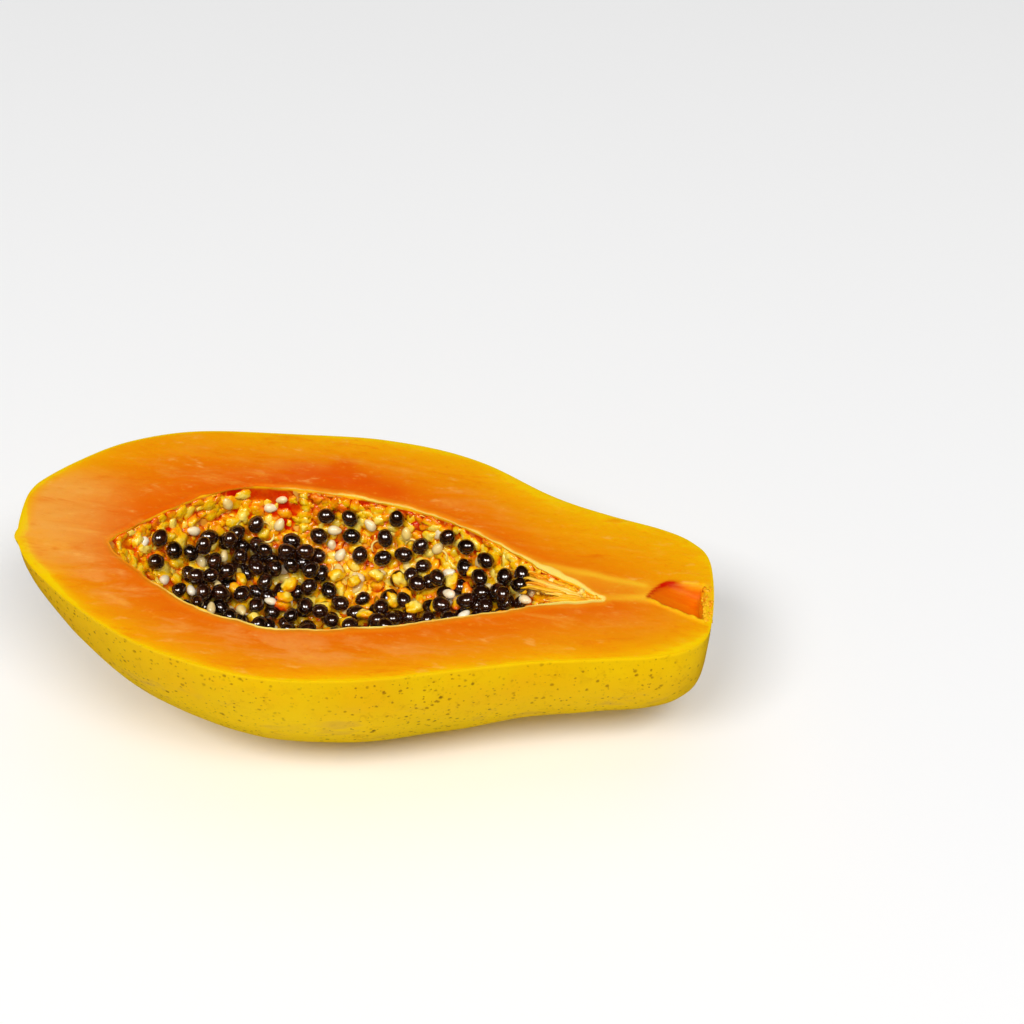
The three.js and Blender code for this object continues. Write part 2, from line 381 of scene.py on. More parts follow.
# %% The three parts of the surface
WALL_ROWS, FACE_ROWS = 72, 50
GRAIN_SIZE, GRAIN_HEIGHT, GRAIN_FILLS = 2.2, 0.4, 0.72  # millimetres, and the share of a cell
GRAINS_BEGIN, GRAINS_FULL = 0.3, 3.0  # millimetres below the rim
RIM_WANDER, RIM_WANDER_SIZE = 0.45, 5.0
KNIFE_WAVE, KNIFE_WAVE_SIZE = 0.06, 7.0
RIM_DROP, RIM_DROP_WIDTH = 0.25, 0.6
RIM_SWELL, RIM_SWELL_AT, RIM_SWELL_WIDTH = 0.1, 1.6, 0.9
SKIN_WAVE, SKIN_WAVE_SIZE = 0.3, 17.0
SKIN_WAVE_TOP, SKIN_SETTLE = 0.25, 0.1


def slope(gap, p, step=0.05):
    """Direction in which a gap grows, of length 1: differences over a small step along each axis."""
    return unit(np.stack([gap(p + step * axis) - gap(p - step * axis) for axis in np.eye(3)], -1))


def nearest_on_loop(points, loop):
    """Distance from points in the cut plane to a closed loop of short straight pieces."""
    start = loop[:, :2]
    step = np.roll(start, -1, 0) - start
    apart = points[:, None, :2] - start
    share = np.clip((apart * step).sum(-1) / (step**2).sum(-1), 0, 1)
    return np.linalg.norm(apart - share[..., None] * step, axis=-1).min(1)


wall = bowl(cavity_gap, WALL_ROWS)
inward = -slope(cavity_gap, wall)
near, grain = cell_noise(wall, GRAIN_SIZE, seed=11)
under_rim = rise(GRAINS_BEGIN, GRAINS_FULL, -wall[..., 2])
swell = np.sqrt(np.clip(1 - (near / GRAIN_FILLS) ** 2, 0, 1)) * (0.45 + 0.55 * grain)
wall_points = wall + inward * (under_rim * GRAIN_HEIGHT * swell)[..., None]

wander = RIM_WANDER * rough_noise(wall[0], RIM_WANDER_SIZE, seed=3)
rim = wall[0] + inward[0] * wander[:, None] * [1, 1, 0]
rim[:, 2] = 0
edge = skin_level[0]
share = np.linspace(0, 1, FACE_ROWS + 1)[1:-1, None, None]
share = share - 0.12 * np.sin(2 * np.pi * share) / np.pi
face_points = rim + (edge - rim) * share
rim_distance, edge_distance = (np.stack([nearest_on_loop(row, loop) for row in face_points])
                               for loop in (rim, edge))
knife_wave = KNIFE_WAVE * rough_noise(face_points * [0.35, 1, 1], KNIFE_WAVE_SIZE, seed=5)
knife_wave = knife_wave * rise(0, 3, edge_distance)
rolled_rim = (-RIM_DROP * bell(rim_distance / RIM_DROP_WIDTH)
              + RIM_SWELL * bell((rim_distance - RIM_SWELL_AT) / RIM_SWELL_WIDTH))
face_points[..., 2] += knife_wave + rolled_rim * rise(0, 2, edge_distance) - pit_depth(face_points)
face_points[..., 2] += pit_lip_height(face_points) * rise(0, 0.8, edge_distance)

from_edge = path_length(skin_level)
skin_wave = SKIN_WAVE * rough_noise(skin_level * [0.6, 1, 1], SKIN_WAVE_SIZE, seed=21)
skin_wave = skin_wave * rise(0, 5, from_edge)
skin_push = (np.minimum(skin_wave, SKIN_WAVE_TOP) - SKIN_SETTLE) * (from_edge > 0)
skin_points = skin_level + slope(body_gap, skin_level) * skin_push[..., None]
skin_points = skin_points + np.maximum(ground - skin_points @ UP, 0)[..., None] * UP
print("grains swell up to", round(float((under_rim * GRAIN_HEIGHT * swell).max()), 2), "mm")

# %% Joining them into one mesh
def closed_faces(rings, columns):
    """Faces of a grid counted ring by ring whose two ends close on two more points: quads between
    rings, and a fan of triangles at each end. They face the way in which the step to the next ring
    crossed with the step to the next column points."""
    column = np.arange(columns)
    after = (column + 1) % columns
    start = np.arange(rings - 1)[:, None] * columns
    corners = [start + column, start + columns + column, start + columns + after, start + after]
    total = rings * columns
    first = [column, after, np.full(columns, total)]
    last = [np.full(columns, total + 1), total - columns + after, total - columns + column]
    return (np.stack(corners, -1).reshape(-1, 4),
            np.concatenate([np.stack(first, -1), np.stack(last, -1)]))


def make_mesh(name, points, faces):
    """A mesh object at the origin from an array of points in metres and a list of corner lists."""
    if not np.isfinite(points).all():
        raise ValueError(name + " has a point that is no number")
    mesh = bpy.data.meshes.new(name)
    mesh.from_pydata(np.asarray(points).tolist(), [], faces)
    mesh.polygons.foreach_set("use_smooth", np.full(len(mesh.polygons), True))
    mesh.update()
    piece = bpy.data.objects.new(name, mesh)
    bpy.context.collection.objects.link(piece)
    return piece


def give(piece, name, values):
    """Stores one number per point for the material to read."""
    layer = piece.data.attributes.new(name, "FLOAT", "POINT")
    layer.data.foreach_set("value", np.asarray(values, np.float32).ravel())


wall_pole, skin_pole = (shoot(gap, np.array([0.0, 0.0, -1.0])) for gap in (cavity_gap, body_gap))
skin_pole = skin_pole + max(ground - skin_pole @ UP, 0) * UP
rings = np.concatenate([wall_points[-2:0:-1], rim[None], face_points, edge[None], skin_points[1:-1]])
quads, fans = closed_faces(len(rings), COLUMNS)
body_points = np.concatenate([rings.reshape(-1, 3), [wall_pole, skin_pole]])
body = make_mesh("flesh_and_skin", place(body_points), quads.tolist() + fans.tolist())
RIM_RING = WALL_ROWS - 2
EDGE_RING = RIM_RING + 1 + len(face_points)
print(body.name, "has", len(rings), "rings and", 2 * len(quads) + len(fans), "triangles")

# %% [markdown]
# ## Shader arithmetic
# A material is a small calculation done at every point of a surface. Written as node boxes it is
# hard to read, so a socket is wrapped in a class whose operators add the Math nodes. One method
# adds every other kind of node. Colours are given as they look on a screen, from 0 to 255, and are
# turned into light values here. Most finishes are a ground colour with thin coats laid over it.

# %% Wires
class Wire:
    """One output socket. Arithmetic on wires and numbers adds Math nodes and gives a new wire."""

    def __init__(self, finish, socket):
        self.finish, self.socket = finish, socket

    def math(self, operation, *values, clamp=False):
        inputs = dict(enumerate((self, *values)))
        return self.finish.node("ShaderNodeMath", {"operation": operation, "use_clamp": clamp}, inputs)

    def __add__(self, other): return self.math("ADD", other)
    def __sub__(self, other): return self.math("SUBTRACT", other)
    def __mul__(self, other): return self.math("MULTIPLY", other)
    def __truediv__(self, other): return self.math("DIVIDE", other)
    def __pow__(self, other): return self.math("POWER", other)
    def __rsub__(self, other): return (self * -1) + other
    __radd__, __rmul__ = __add__, __mul__

    def rise(self, low, high):
        """0 below low, 1 above high, smooth between. With low above high it falls instead."""
        values = {"Value": self, "From Min": low, "From Max": high}
        if low > high:
            values.update({"From Min": high, "From Max": low, "To Min": 1.0, "To Max": 0.0})
        return self.finish.node("ShaderNodeMapRange", {"interpolation_type": "SMOOTHSTEP"}, values)

    def clamp(self):
        return self.math("ADD", 0.0, clamp=True)


print("a wire also knows:", ", ".join(name for name in vars(Wire) if not name.startswith("__")))

# %% Screen colours and finishes
def screen(red, green, blue):
    """Light values of a screen colour: the usual curve, a power of 2.4 with a straight foot."""
    share = np.array([red, green, blue]) / 255
    light = np.where(share <= 0.04045, share / 12.92, ((share + 0.055) / 1.055) ** 2.4)
    return (*map(float, light), 1.0)


class Finish:
    """A material in the making. The fixed values go straight to the shader's own sockets."""

    def __init__(self, name, **fixed):
        self.material = bpy.data.materials.new(name)
        self.material.use_nodes = True
        self.tree = self.material.node_tree
        self.shader = self.tree.nodes["Principled BSDF"]
        for socket, value in fixed.items():
            self.shader.inputs[socket.replace("_", " ")].default_value = value
        self.place = self.node("ShaderNodeTexCoord", output="Object")

    def node(self, kind, settings=None, inputs=None, output=0):
        """Adds a node: settings first, then numbers or wires for its sockets. Gives one output."""
        made = self.tree.nodes.new(kind)
        for key, value in (settings or {}).items():
            if key == "stops":
                ramp = made.color_ramp
                while len(ramp.elements) < len(value):
                    ramp.elements.new(0.5)
                for element, (position, colour) in zip(ramp.elements, value):
                    element.position, element.color = position, colour
            else:
                setattr(made, key, value)
        for key, value in (inputs or {}).items():
            if isinstance(value, Wire):
                self.tree.links.new(value.socket, made.inputs[key])
            else:
                made.inputs[key].default_value = value
        return Wire(self, made.outputs[output])

    def stored(self, name):
        """A number kept on the mesh."""
        return self.node("ShaderNodeAttribute", {"attribute_name": name}, output="Fac")

    def vector(self, operation, *values):
        return self.node("ShaderNodeVectorMath", {"operation": operation}, dict(enumerate(values)))

    def long(self, share):
        """Object coordinates with x scaled by a share, so that a pattern runs long that way."""
        return self.vector("MULTIPLY", self.place, (share, 1.0, 1.0))

    def noise(self, scale, detail=2.0, roughness=0.5, where=None, distortion=0.0, output=0):
        inputs = {"Vector": where or self.place, "Scale": scale, "Detail": detail,
                  "Roughness": roughness, "Distortion": distortion}
        return self.node("ShaderNodeTexNoise", {}, inputs, output)

    def cells(self, scale, where, output="Distance"):
        return self.node("ShaderNodeTexVoronoi", {}, {"Vector": where, "Scale": scale}, output)

    def mix(self, factor, *colours):
        """The first colour at 0 and the second at 1. Each is a wire, a screen colour or, with four
        numbers, light values."""
        first, second = (colour if isinstance(colour, Wire) or len(colour) == 4 else screen(*colour)
                         for colour in colours)
        settings = {"data_type": "RGBA", "clamp_factor": True}
        return self.node("ShaderNodeMix", settings, {"Factor": factor, 6: first, 7: second}, 2)

    def coats(self, colour, *coats):
        """A colour with coats over it, each given by its share from 0 to 1 and its own colour."""
        for share, over in coats:
            colour = self.mix(share, colour, over)
        return colour

    def ramp(self, stops, value):
        """A colour ramp with its stops given as places from 0 to 1 and screen colours."""
        stops = [(position, screen(*colour)) for position, colour in stops]
        return self.node("ShaderNodeValToRGB", {"stops": stops}, {"Fac": value})

    def red(self, colour):
        """The first of a colour's or a place's three numbers."""
        return self.node("ShaderNodeSeparateColor", {}, {0: colour}, "Red")

    def bump(self, height, distance, strength):
        """Height times distance, in metres, as a tilt of the surface."""
        inputs = {"Height": height, "Distance": distance, "Strength": strength}
        return self.node("ShaderNodeBump", {}, inputs)

    def drive(self, **sockets):
        """Links wires to the shader, which completes the material."""
        for socket, wire in sockets.items():
            self.tree.links.new(wire.socket, self.shader.inputs[socket.replace("_", " ")])
        print(self.material.name, "has", len(self.tree.nodes), "nodes")


print("a mid grey of 128 on a screen is", round(screen(128, 128, 128)[0], 3), "in light")

# %% [markdown]
# ## Skin
# A ripe papaya has a thin waxy skin, golden yellow with faint greener and more orange patches,
# peppered with small olive-brown dots that gather in clouds. Low down there are some grey-brown
# scuffs. The dots are random points with random sizes: a cell pattern gives the distance to the
# nearest point, and slow noise decides where dots may grow.

# %% Skin finish
f = skin_finish = Finish(
    "waxy_yellow_skin", Roughness=0.4, Specular_IOR_Level=0.15, IOR=1.3, Coat_Weight=0.03,
    Coat_Roughness=0.15, Subsurface_Weight=0.1, Subsurface_Scale=0.004,
    Subsurface_Radius=(1.0, 0.6, 0.2), Specular_Tint=(1.0, 0.75, 0.15, 1.0))
drift, mottle, fine_mottle = f.noise(16.0, 3.0), f.noise(60.0, 4.0, 0.6), f.noise(210.0, 4.0, 0.65)
from_cut = f.stored("edge_mm")
blossom_side = f.red(f.place).rise(-0.01, -0.085)
smears = f.noise(300.0, 3.0, 0.6, distortion=1.0).rise(0.56, 0.7) * f.noise(48.0).rise(0.4, 0.62)
clouds = f.noise(24.0).rise(0.36, 0.62)
SHAKE = (0.0009,) * 3
shaky = f.vector("MULTIPLY_ADD", f.noise(700.0, 1.0, output="Color"), SHAKE, f.place)


def dots(scale, least, most, shift):
    """Dots on the points of a cell pattern, each with its own size from least to most, in cells.
    Small smooth noise in the coordinates makes their outlines uneven."""
    moved = f.vector("ADD", shaky, (shift,) * 3)
    own = f.red(f.cells(scale, moved, "Color"))
    size = own ** 3 * (most - least) + least
    return (f.cells(scale, moved) / size).rise(1.15, 0.4) * own.rise(0.1, 0.5)


specks = dots(470.0, 0.12, 0.34, 0.0) + dots(540.0, 0.11, 0.3, 0.11) + dots(390.0, 0.1, 0.3, 0.23)
specks = (specks * (clouds * 0.5 + blossom_side * 0.4 + 0.35)).clamp()
large_specks = (dots(220.0, 0.06, 0.17, 0.3) * (clouds * 0.6 + 0.4)).clamp()
faint_specks = (dots(640.0, 0.14, 0.4, 0.7) * (clouds * 0.8 + 0.2)).clamp()
scuffs = f.noise(130.0, 3.0, 0.7, f.long(0.35)).rise(0.56, 0.7) * f.noise(26.0, 1.0).rise(0.39, 0.52)
scuffs = scuffs * from_cut.rise(6.0, 20.0) * (blossom_side * 0.7 + 0.45)
f.drive(
    Base_Color=f.coats(
        f.mix(drift.rise(0.36, 0.66), (228, 186, 0), (221, 172, 0)),
        (blossom_side * 0.6, (225, 172, 0)),
        (mottle.rise(0.45, 0.75) * 0.5, (230, 170, 0)),
        (mottle.rise(0.45, 0.25) * 0.35, (232, 192, 0)),
        (fine_mottle.rise(0.52, 0.75) * 0.4, (206, 156, 0)),
        (from_cut.rise(6.0, 30.0) * 0.62, (250, 208, 4)),
        (smears * 0.4, (190, 130, 0)),
        (f.noise(9.0).rise(0.58, 0.72) * 0.3, (196, 184, 2)),
        (faint_specks * 0.5, (196, 152, 0)),
        (specks * 0.85, (136, 88, 2)),
        (large_specks * 0.9, (108, 70, 6)),
        (scuffs * 0.8, (190, 144, 66)),
        ((from_cut + mottle).rise(1.7, 0.8) * 0.7, (242, 198, 0))),
    Roughness=mottle * 0.12 + scuffs * 0.2 + 0.32,
    Normal=f.bump(f.noise(900.0, 3.0) * 0.5 + specks * -0.8, 0.00012, 0.6))

# %% [markdown]
# ## Flesh
# The cut flesh is deep orange beside the hollow and turns yellow in the last few millimetres under
# the skin. The share of the way from the hollow to the skin is kept on the mesh, and a colour ramp
# reads it. There are two ramps of the same flesh, and they paint light: the near side of the cut is
# painted paler, as if more lit, and the far side deeper, as if shaded. Pinkish pale patches on the
# near side and at the blossom end are painted sheen of the wet cut. Fibres run along the fruit, so
# the noise is stretched that way. The film of juice mirrors the orange below it, and the specular
# tint is given that colour.

# %% Flesh finish
# Painted light: lit and shaded copies of one flesh, the far side deeper and the near side paler.
SHADED_FAR_SIDE = [(0.0, (232, 98, 0)), (0.18, (233, 106, 0)), (0.35, (234, 117, 0)), (0.5, (236, 130, 0)),
             (0.65, (238, 144, 0)), (0.82, (240, 156, 0)), (0.95, (242, 172, 0)), (1.0, (243, 194, 0))]
LIT_NEAR_SIDE = [(0.0, (230, 104, 0)), (0.2, (232, 111, 2)), (0.38, (234, 121, 4)), (0.55, (236, 135, 6)),
             (0.72, (238, 145, 4)), (0.86, (240, 158, 0)), (0.96, (242, 180, 0)), (1.0, (243, 202, 0))]
f = flesh_finish = Finish(
    "ripe_orange_flesh", Roughness=0.42, Specular_IOR_Level=0.2, Subsurface_Weight=0.3,
    Subsurface_Scale=0.005, Coat_Weight=0.04, Coat_Roughness=0.3,
    Subsurface_Radius=(1.0, 0.35, 0.1), Specular_Tint=(1.0, 0.6, 0.12, 1.0))
pale_side, ends = f.stored("pale_side"), f.stored("ends")
fibres = f.noise(90.0, 4.0, 0.6, f.long(0.22))
patches = f.noise(34.0, 3.0, 0.5, f.long(0.6))
streaks = f.noise(150.0, 5.0, 0.68, f.long(0.3), distortion=0.6)
flecks = f.noise(330.0, 3.0, 0.6, f.long(0.45))
grains = f.noise(620.0, 3.0, 0.6, f.long(0.7))
way = f.stored("share") + fibres * 0.16 - 0.08 + patches * 0.16 - 0.08 + streaks * 0.2 - 0.1
# Painted sheen: pinkish pale patches on the near flesh, where the wet cut would mirror the lamps.
painted_sheen = (patches * 0.5 + streaks * 0.8 + flecks * 0.3).rise(0.76, 0.95)
painted_sheen = painted_sheen * (way.rise(0.05, 0.3) * way.rise(0.85, 0.55))
painted_sheen = painted_sheen * (pale_side * 0.4 + 0.25) * (1 - f.stored("stem_side") * 0.7)
blush = f.stored("blush") * f.noise(15.0).rise(0.25, 0.6) * (streaks * 0.9 + 0.35)
dashes = f.cells(170.0, f.long(0.4)).rise(0.16, 0.05)
ragged_rim = f.stored("rim_mm") + fibres * 0.9 + streaks * 0.9 - f.stored("cream_edge")
f.drive(
    Base_Color=f.coats(
        f.mix(pale_side, f.ramp(SHADED_FAR_SIDE, way), f.ramp(LIT_NEAR_SIDE, way)),
        (painted_sheen, (241, 150, 66)),
        (blush.clamp() * 0.85, (226, 66, 0)),
        # painted sheen: pale pink over the blossom end
        ((ends * (streaks * 1.1 + flecks * 0.4)).clamp(), (243, 166, 72)),
        (dashes * ends * 0.6, (226, 120, 8)),
        (fibres.rise(0.56, 0.8) * 0.4, (250, 168, 24)),
        (streaks.rise(0.44, 0.26) * 0.4, (226, 92, 0)),
        (streaks.rise(0.56, 0.76) * 0.4, (247, 172, 52)),
        (flecks.rise(0.6, 0.78) * 0.4, (252, 186, 90)),
        (flecks.rise(0.4, 0.24) * 0.2, (222, 96, 0)),
        (grains.rise(0.55, 0.8) * 0.3, (250, 170, 50)),
        (grains.rise(0.45, 0.2) * 0.25, (224, 100, 0)),
        (f.stored("vein") * (fibres + 0.35), (252, 196, 40)),
        (f.stored("pit_floor") * (streaks.rise(0.7, 0.3) * 0.4 + 0.6), (224, 94, 0)),
        (f.stored("pit_line"), (196, 16, 0)),
        (f.stored("pit_lip"), (255, 186, 20)),
        (ragged_rim.rise(4.0, 1.2) * 0.45, (248, 166, 24)),
        (ragged_rim.rise(1.75, 0.9), (255, 218, 104)),
        ((f.stored("edge_mm") + fibres * 0.8).rise(1.4, 0.6) * 0.9, (240, 190, 0))),
    Roughness=fibres * 0.2 + 0.34,
    Normal=f.bump(fibres * 0.5 + streaks * 0.4 + flecks * 0.3, 0.0004, 0.6))

# %% [markdown]
# ## Lining
# The wall of the hollow carries the same packed grains as the shape: golden on their tops, deeper
# orange-red in the grooves between them, partly their own colour and partly painted shade. Where the
# pulp has torn away, the wall shows red, and under the thick of the seeds a dark brown painted shade
# covers it. Both are numbers kept on the mesh.

# %% Lining finish
# Dark brown painted as shade where the seeds lie thick.
HEAP_SHADE_BROWN = (66, 24, 6)
TORN_COLOURS = [(0.0, (240, 130, 0)), (0.4, (232, 92, 0)), (0.7, (218, 42, 0)), (1.0, (204, 14, 0))]
f = lining_finish = Finish(
    "golden_pulp_lining", Roughness=0.3, Specular_IOR_Level=0.35, Coat_Weight=0.25,
    Coat_Roughness=0.12, Specular_Tint=(1.0, 0.7, 0.2, 1.0))
grain_tone, torn = f.stored("tone"), f.stored("torn")
near_rim = (f.stored("rim_mm") + f.noise(160.0, 3.0) * 1.6).rise(1.9, 1.0) * (1 - torn * 0.7)
f.drive(
    Base_Color=f.coats(
        # Grooves between grains: deep red-orange, partly the pulp's own colour and partly painted shade.
        f.mix(f.stored("lump").rise(0.1, 0.75), (200, 44, 0), (246, 146, 0)),
        (grain_tone.rise(0.6, 1.0) * 0.6, (250, 205, 90)),
        (grain_tone.rise(0.3, 0.0) * 0.5, (226, 90, 0)),
        (torn.rise(0.1, 0.4), f.ramp(TORN_COLOURS, torn + f.noise(260.0, 4.0, 0.6) * 0.7 - 0.35)),
        (near_rim, (255, 186, 16)),
        # painted shade under the heap of seeds
        (f.stored("stain") * 0.85, HEAP_SHADE_BROWN)),
    Roughness=f.noise(300.0) * 0.2 + 0.2,
    Normal=f.bump(f.noise(420.0, 4.0, 0.6), 0.0008, 0.5))

# %% [markdown]
# The finishes read some numbers from the body: how far a point is from the rim of the hollow and
# from the edge of the skin, how much its grain swells, the tone of the grain, and how torn the wall
# is there. Torn spots are placed by x and by an angle round the hollow.

# %% Numbers kept on the body
TORN_SPOTS = [  # x, degrees, size, redness
    (58.5, 4, 2.4, 1.0), (58.5, 9, 2.4, 1.0), (59, 14, 1.8, 0.9), (62.5, 4.5, 2.4, 0.6),
    (65.5, 4.5, 2.4, 0.5), (69, 5, 2.5, 0.6), (72.5, 5.5, 2.5, 0.6), (71, 10, 1.8, 0.7),
    (70, 15, 2.2, 0.8), (73, 15, 2.4, 1.0), (75.5, 18, 2.2, 0.8), (73, 24.5, 2.4, 1.0),
    (76, 12, 1.8, 0.6), (41, 26, 1.6, 0.8), (45, 33, 1.5, 0.8),
]
FAR = 50  # millimetres, for points whose distance doesn't matter


def on_wall(x, degrees):
    """Point on the smooth wall of the hollow: degrees run from the far rim over the bottom."""
    angle = np.radians(degrees)
    half = cavity_half_width(np.asarray(x, float))
    return np.stack([x + 0 * angle, cavity_middle(x) + half * np.cos(angle),
                     -half * CAVITY_DEPTH_RATIO * np.sin(angle)], -1)


def torn_at(p):
    """The redness of the reddest torn spot that reaches a point, and 0 away from all of them."""
    spots = np.array(TORN_SPOTS, float)
    away = np.linalg.norm(p[..., None, :] - on_wall(spots[:, 0], spots[:, 1]), axis=-1) / spots[:, 2]
    uneven = 0.25 * smooth_noise(p, 1.6, seed=31)[..., None]
    return (rise(1.25, 0.75, away + uneven) * spots[:, 3]).max(-1)


inner = slice(WALL_ROWS - 2, 0, -1)


def give_body(name, of_wall, of_rim=0, of_face=0, of_edge=0, of_skin=0, of_poles=0):
    """Stores one number per point of the body, in the order in which its rings were joined."""
    parts = ((of_wall, wall[inner]), (of_rim, rim), (of_face, face_points), (of_edge, edge),
             (of_skin, skin_points[1:-1]), (of_poles, body_points[-2:]))
    give(body, name, np.concatenate(
        [np.broadcast_to(np.asarray(part, float), shape.shape[:-1]).ravel() for part, shape in parts]))


give_body("rim_mm", path_length(wall)[inner], 0, rim_distance, FAR, FAR, FAR)
give_body("edge_mm", FAR, FAR, edge_distance, 0, from_edge[1:-1], FAR)
give_body("lump", (swell * under_rim)[inner])
give_body("tone", grain[inner], 0.5, 0.5, 0.5, 0.5, 0.5)
give_body("torn", torn_at(wall[inner]))
print("torn share of the wall:", round(float((torn_at(wall[inner]) > 0.5).mean()), 3))

# %% [markdown]
# Some marks on the cut belong to this fruit: red blushes beside the hollow, two pale veins that
# run on from the hollow to the stem pit, dashes at the blossom end, the red line and yellow lip of
# the pit. Two marks paint light: the near side, which the flesh ramps paint paler, and the blossom
# end, which also carries a painted pale pinkish sheen. Each is a number worked out from distances to
# points or lines. Most run from about 0 to 1, and the width of the cream edge along the hollow is in
# millimetres.

# %% Marks on the cut
BLUSHES = [(58, 23, 5), (70, 27, 4), (85, 30, 5), (95.5, 30, 4.5), (104, 27, 3.5), (89, 36, 3.5), (76, 32, 4)]
VEINS = [((147, 1.5), (179.5, -3.2)), ((166, -11), (181, -8.4))]
WEDGE = ((150, -4.5), (184, -6))


def line_distance(p, ends):
    """Distance from points of the cut to a straight line between two of them."""
    start, end = np.array(ends, float)
    step = end - start
    reached = np.clip(((p[..., :2] - start) @ step) / (step @ step), 0, 1)
    return np.linalg.norm(p[..., :2] - start - reached[..., None] * step, axis=-1)


def cut_marks(p, to_rim, to_edge):
    """The marks at points of the cut, by name. On the skin and the wall they are all 0."""
    x, y = p[..., 0], p[..., 1]
    aside = y - core_bend(x)
    far_share = rise(-6, 4, aside)
    uneven = smooth_noise(p * [0.4, 1, 1], 2.2, seed=8)
    run, across = pit_across(p)
    far_side, near_side = pit_sides(run)
    in_pit_run = rise(-0.04, 0.03, run) * rise(1.06, 1.0, run)
    pit_floor = rise(0.15, 0.9, pit_depth(p))
    to_far = np.abs(y - PIT_MIDDLE - far_side)
    outside_near = PIT_MIDDLE - near_side - y
    to_near = np.abs(outside_near - 0.2)
    way = to_rim / np.maximum(to_rim + to_edge, 1e-6)
    blush = sum(np.exp(-((x - at) ** 2 / 1.6 + (y - side) ** 2) / size**2) for at, side, size in BLUSHES)
    vein = sum(bell(line_distance(p, ends) / (1.5 + 0.6 * uneven)) for ends in VEINS)
    wedge = rise(6, 1.5, line_distance(p, WEDGE)) * rise(150, 166, x)
    paler = 0.2 * (1 - way) * rise(98, 118, x) - 0.14 * way * rise(66, 44, x)
    yellow_tip = 0.16 * way * rise(30, 6, x) * rise(5, 0.5, to_edge)
    return {
        "share": way + 0.5 * way * (1 - way) * rise(125, 160, x) * (0.4 + 0.6 * far_share)
                 + far_share * paler + yellow_tip,
        # painted light: marks the near side, which the flesh ramps paint paler
        "pale_side": 1 - far_share,
        "stem_side": rise(138, 156, x),
        "blush": np.clip(blush, 0, 1),
        # the blossom end: its own dashes, and a pale pinkish painted sheen
        "ends": rise(36, 10, x) * rise(1.0, 0.5, np.abs(aside) / 26) * rise(0.5, 5.0, to_edge),
        "vein": np.clip(vein * 0.7 + 0.3 * wedge, 0, 1) * (1 - pit_floor),
        "pit_floor": pit_floor,
        "pit_line": np.clip(1.4 * bell(to_far / 0.85) * in_pit_run * rise(0.7, 0.35, run)
                            + bell(to_near / 0.7) * in_pit_run * rise(0.8, 0.4, run), 0, 1),
        "pit_lip": np.clip(bell((outside_near - 0.9) / 0.7) * in_pit_run
                           + 0.7 * bell(to_far / 0.6) * in_pit_run * rise(0.55, 0.85, run)
                           + rise(195.8, 196.6, x) * (np.abs(across) < 1.1), 0, 1) * 0.9,
        "cream_edge": 0.3 * far_share * rise(82, 95, x) + 0.8 * rise(146, 160, x)
                      - 1.6 * far_share * rise(74, 60, x) - 0.8 * rise(46, 36, x)
                      + 1.3 * bell((x - 152.5) / 5.5) * far_share + 0.3 * uneven - 0.1,
    }


marks = [cut_marks(rim, np.zeros(COLUMNS), nearest_on_loop(rim, edge)),
         cut_marks(face_points, rim_distance, edge_distance),
         cut_marks(edge, nearest_on_loop(edge, rim), np.zeros(COLUMNS))]
for mark in marks[1]:
    give_body(mark, 0, *(part[mark] for part in marks))
print("deepest blush", round(float(marks[1]["blush"].max()), 2))

# %% [markdown]
# Each face of the body takes its material by the ring it starts from. The knife cut the rim of the
# hollow and the edge of the skin sharp, so shading breaks along those two rings.

# %% Materials of the three parts
for finish in (skin_finish, flesh_finish, lining_finish):
    body.data.materials.append(finish.material)
ring_of_quad = np.repeat(np.arange(len(rings) - 1), COLUMNS)
quad_material = np.where(ring_of_quad < RIM_RING, 2, np.where(ring_of_quad < EDGE_RING, 1, 0))
body.data.polygons.foreach_set("material_index", np.concatenate(
    [quad_material, np.full(COLUMNS, 2), np.full(COLUMNS, 0)]).astype(np.int32))
edge_ends = np.zeros(len(body.data.edges) * 2, np.int32)
body.data.edges.foreach_get("vertices", edge_ends)
edge_rings = edge_ends.reshape(-1, 2) // COLUMNS
sharp = (edge_rings[:, 0] == edge_rings[:, 1]) & np.isin(edge_rings[:, 0], (RIM_RING, EDGE_RING))
sharp_layer = body.data.attributes.new("sharp_edge", "BOOLEAN", "EDGE")
sharp_layer.data.foreach_set("value", sharp)
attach(body, "root")
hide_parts("papaya_half")
print("the body has", int(sharp.sum()), "sharp edges along its two rings")

# %% [markdown]
# ## Eggs and strands
# The hollow is filled with many small things of two kinds: eggs (seeds and sacs of pulp) and strands
# (torn fibres). Both are grids closed by a point at either end, so they share the same faces. Each
# function makes all its shapes in one array, with the shapes along the first axis.

# %% Closed grids
def make_many(name, points, rings, columns):
    """One mesh of like shapes: each one's corner numbers are moved on by the points before it."""
    start = np.arange(len(points))[:, None, None] * points.shape[1]
    quads, fans = (kind[None] + start for kind in closed_faces(rings, columns))
    faces = quads.reshape(-1, 4).tolist() + fans.reshape(-1, 3).tolist()
    return make_mesh(name, place(points.reshape(-1, 3)), faces)


def finish_piece(piece, finish, slot, tones, *nodes):
    """Gives a piece its material, the body it rides on and one tone for each of its shapes, and
    hides the solids it stands for. The slot is not used."""
    piece.data.materials.append(finish.material)
    give(piece, "tone", np.repeat(tones, len(piece.data.vertices) // len(tones)))
    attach(piece, "root")
    if nodes:
        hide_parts(*nodes)


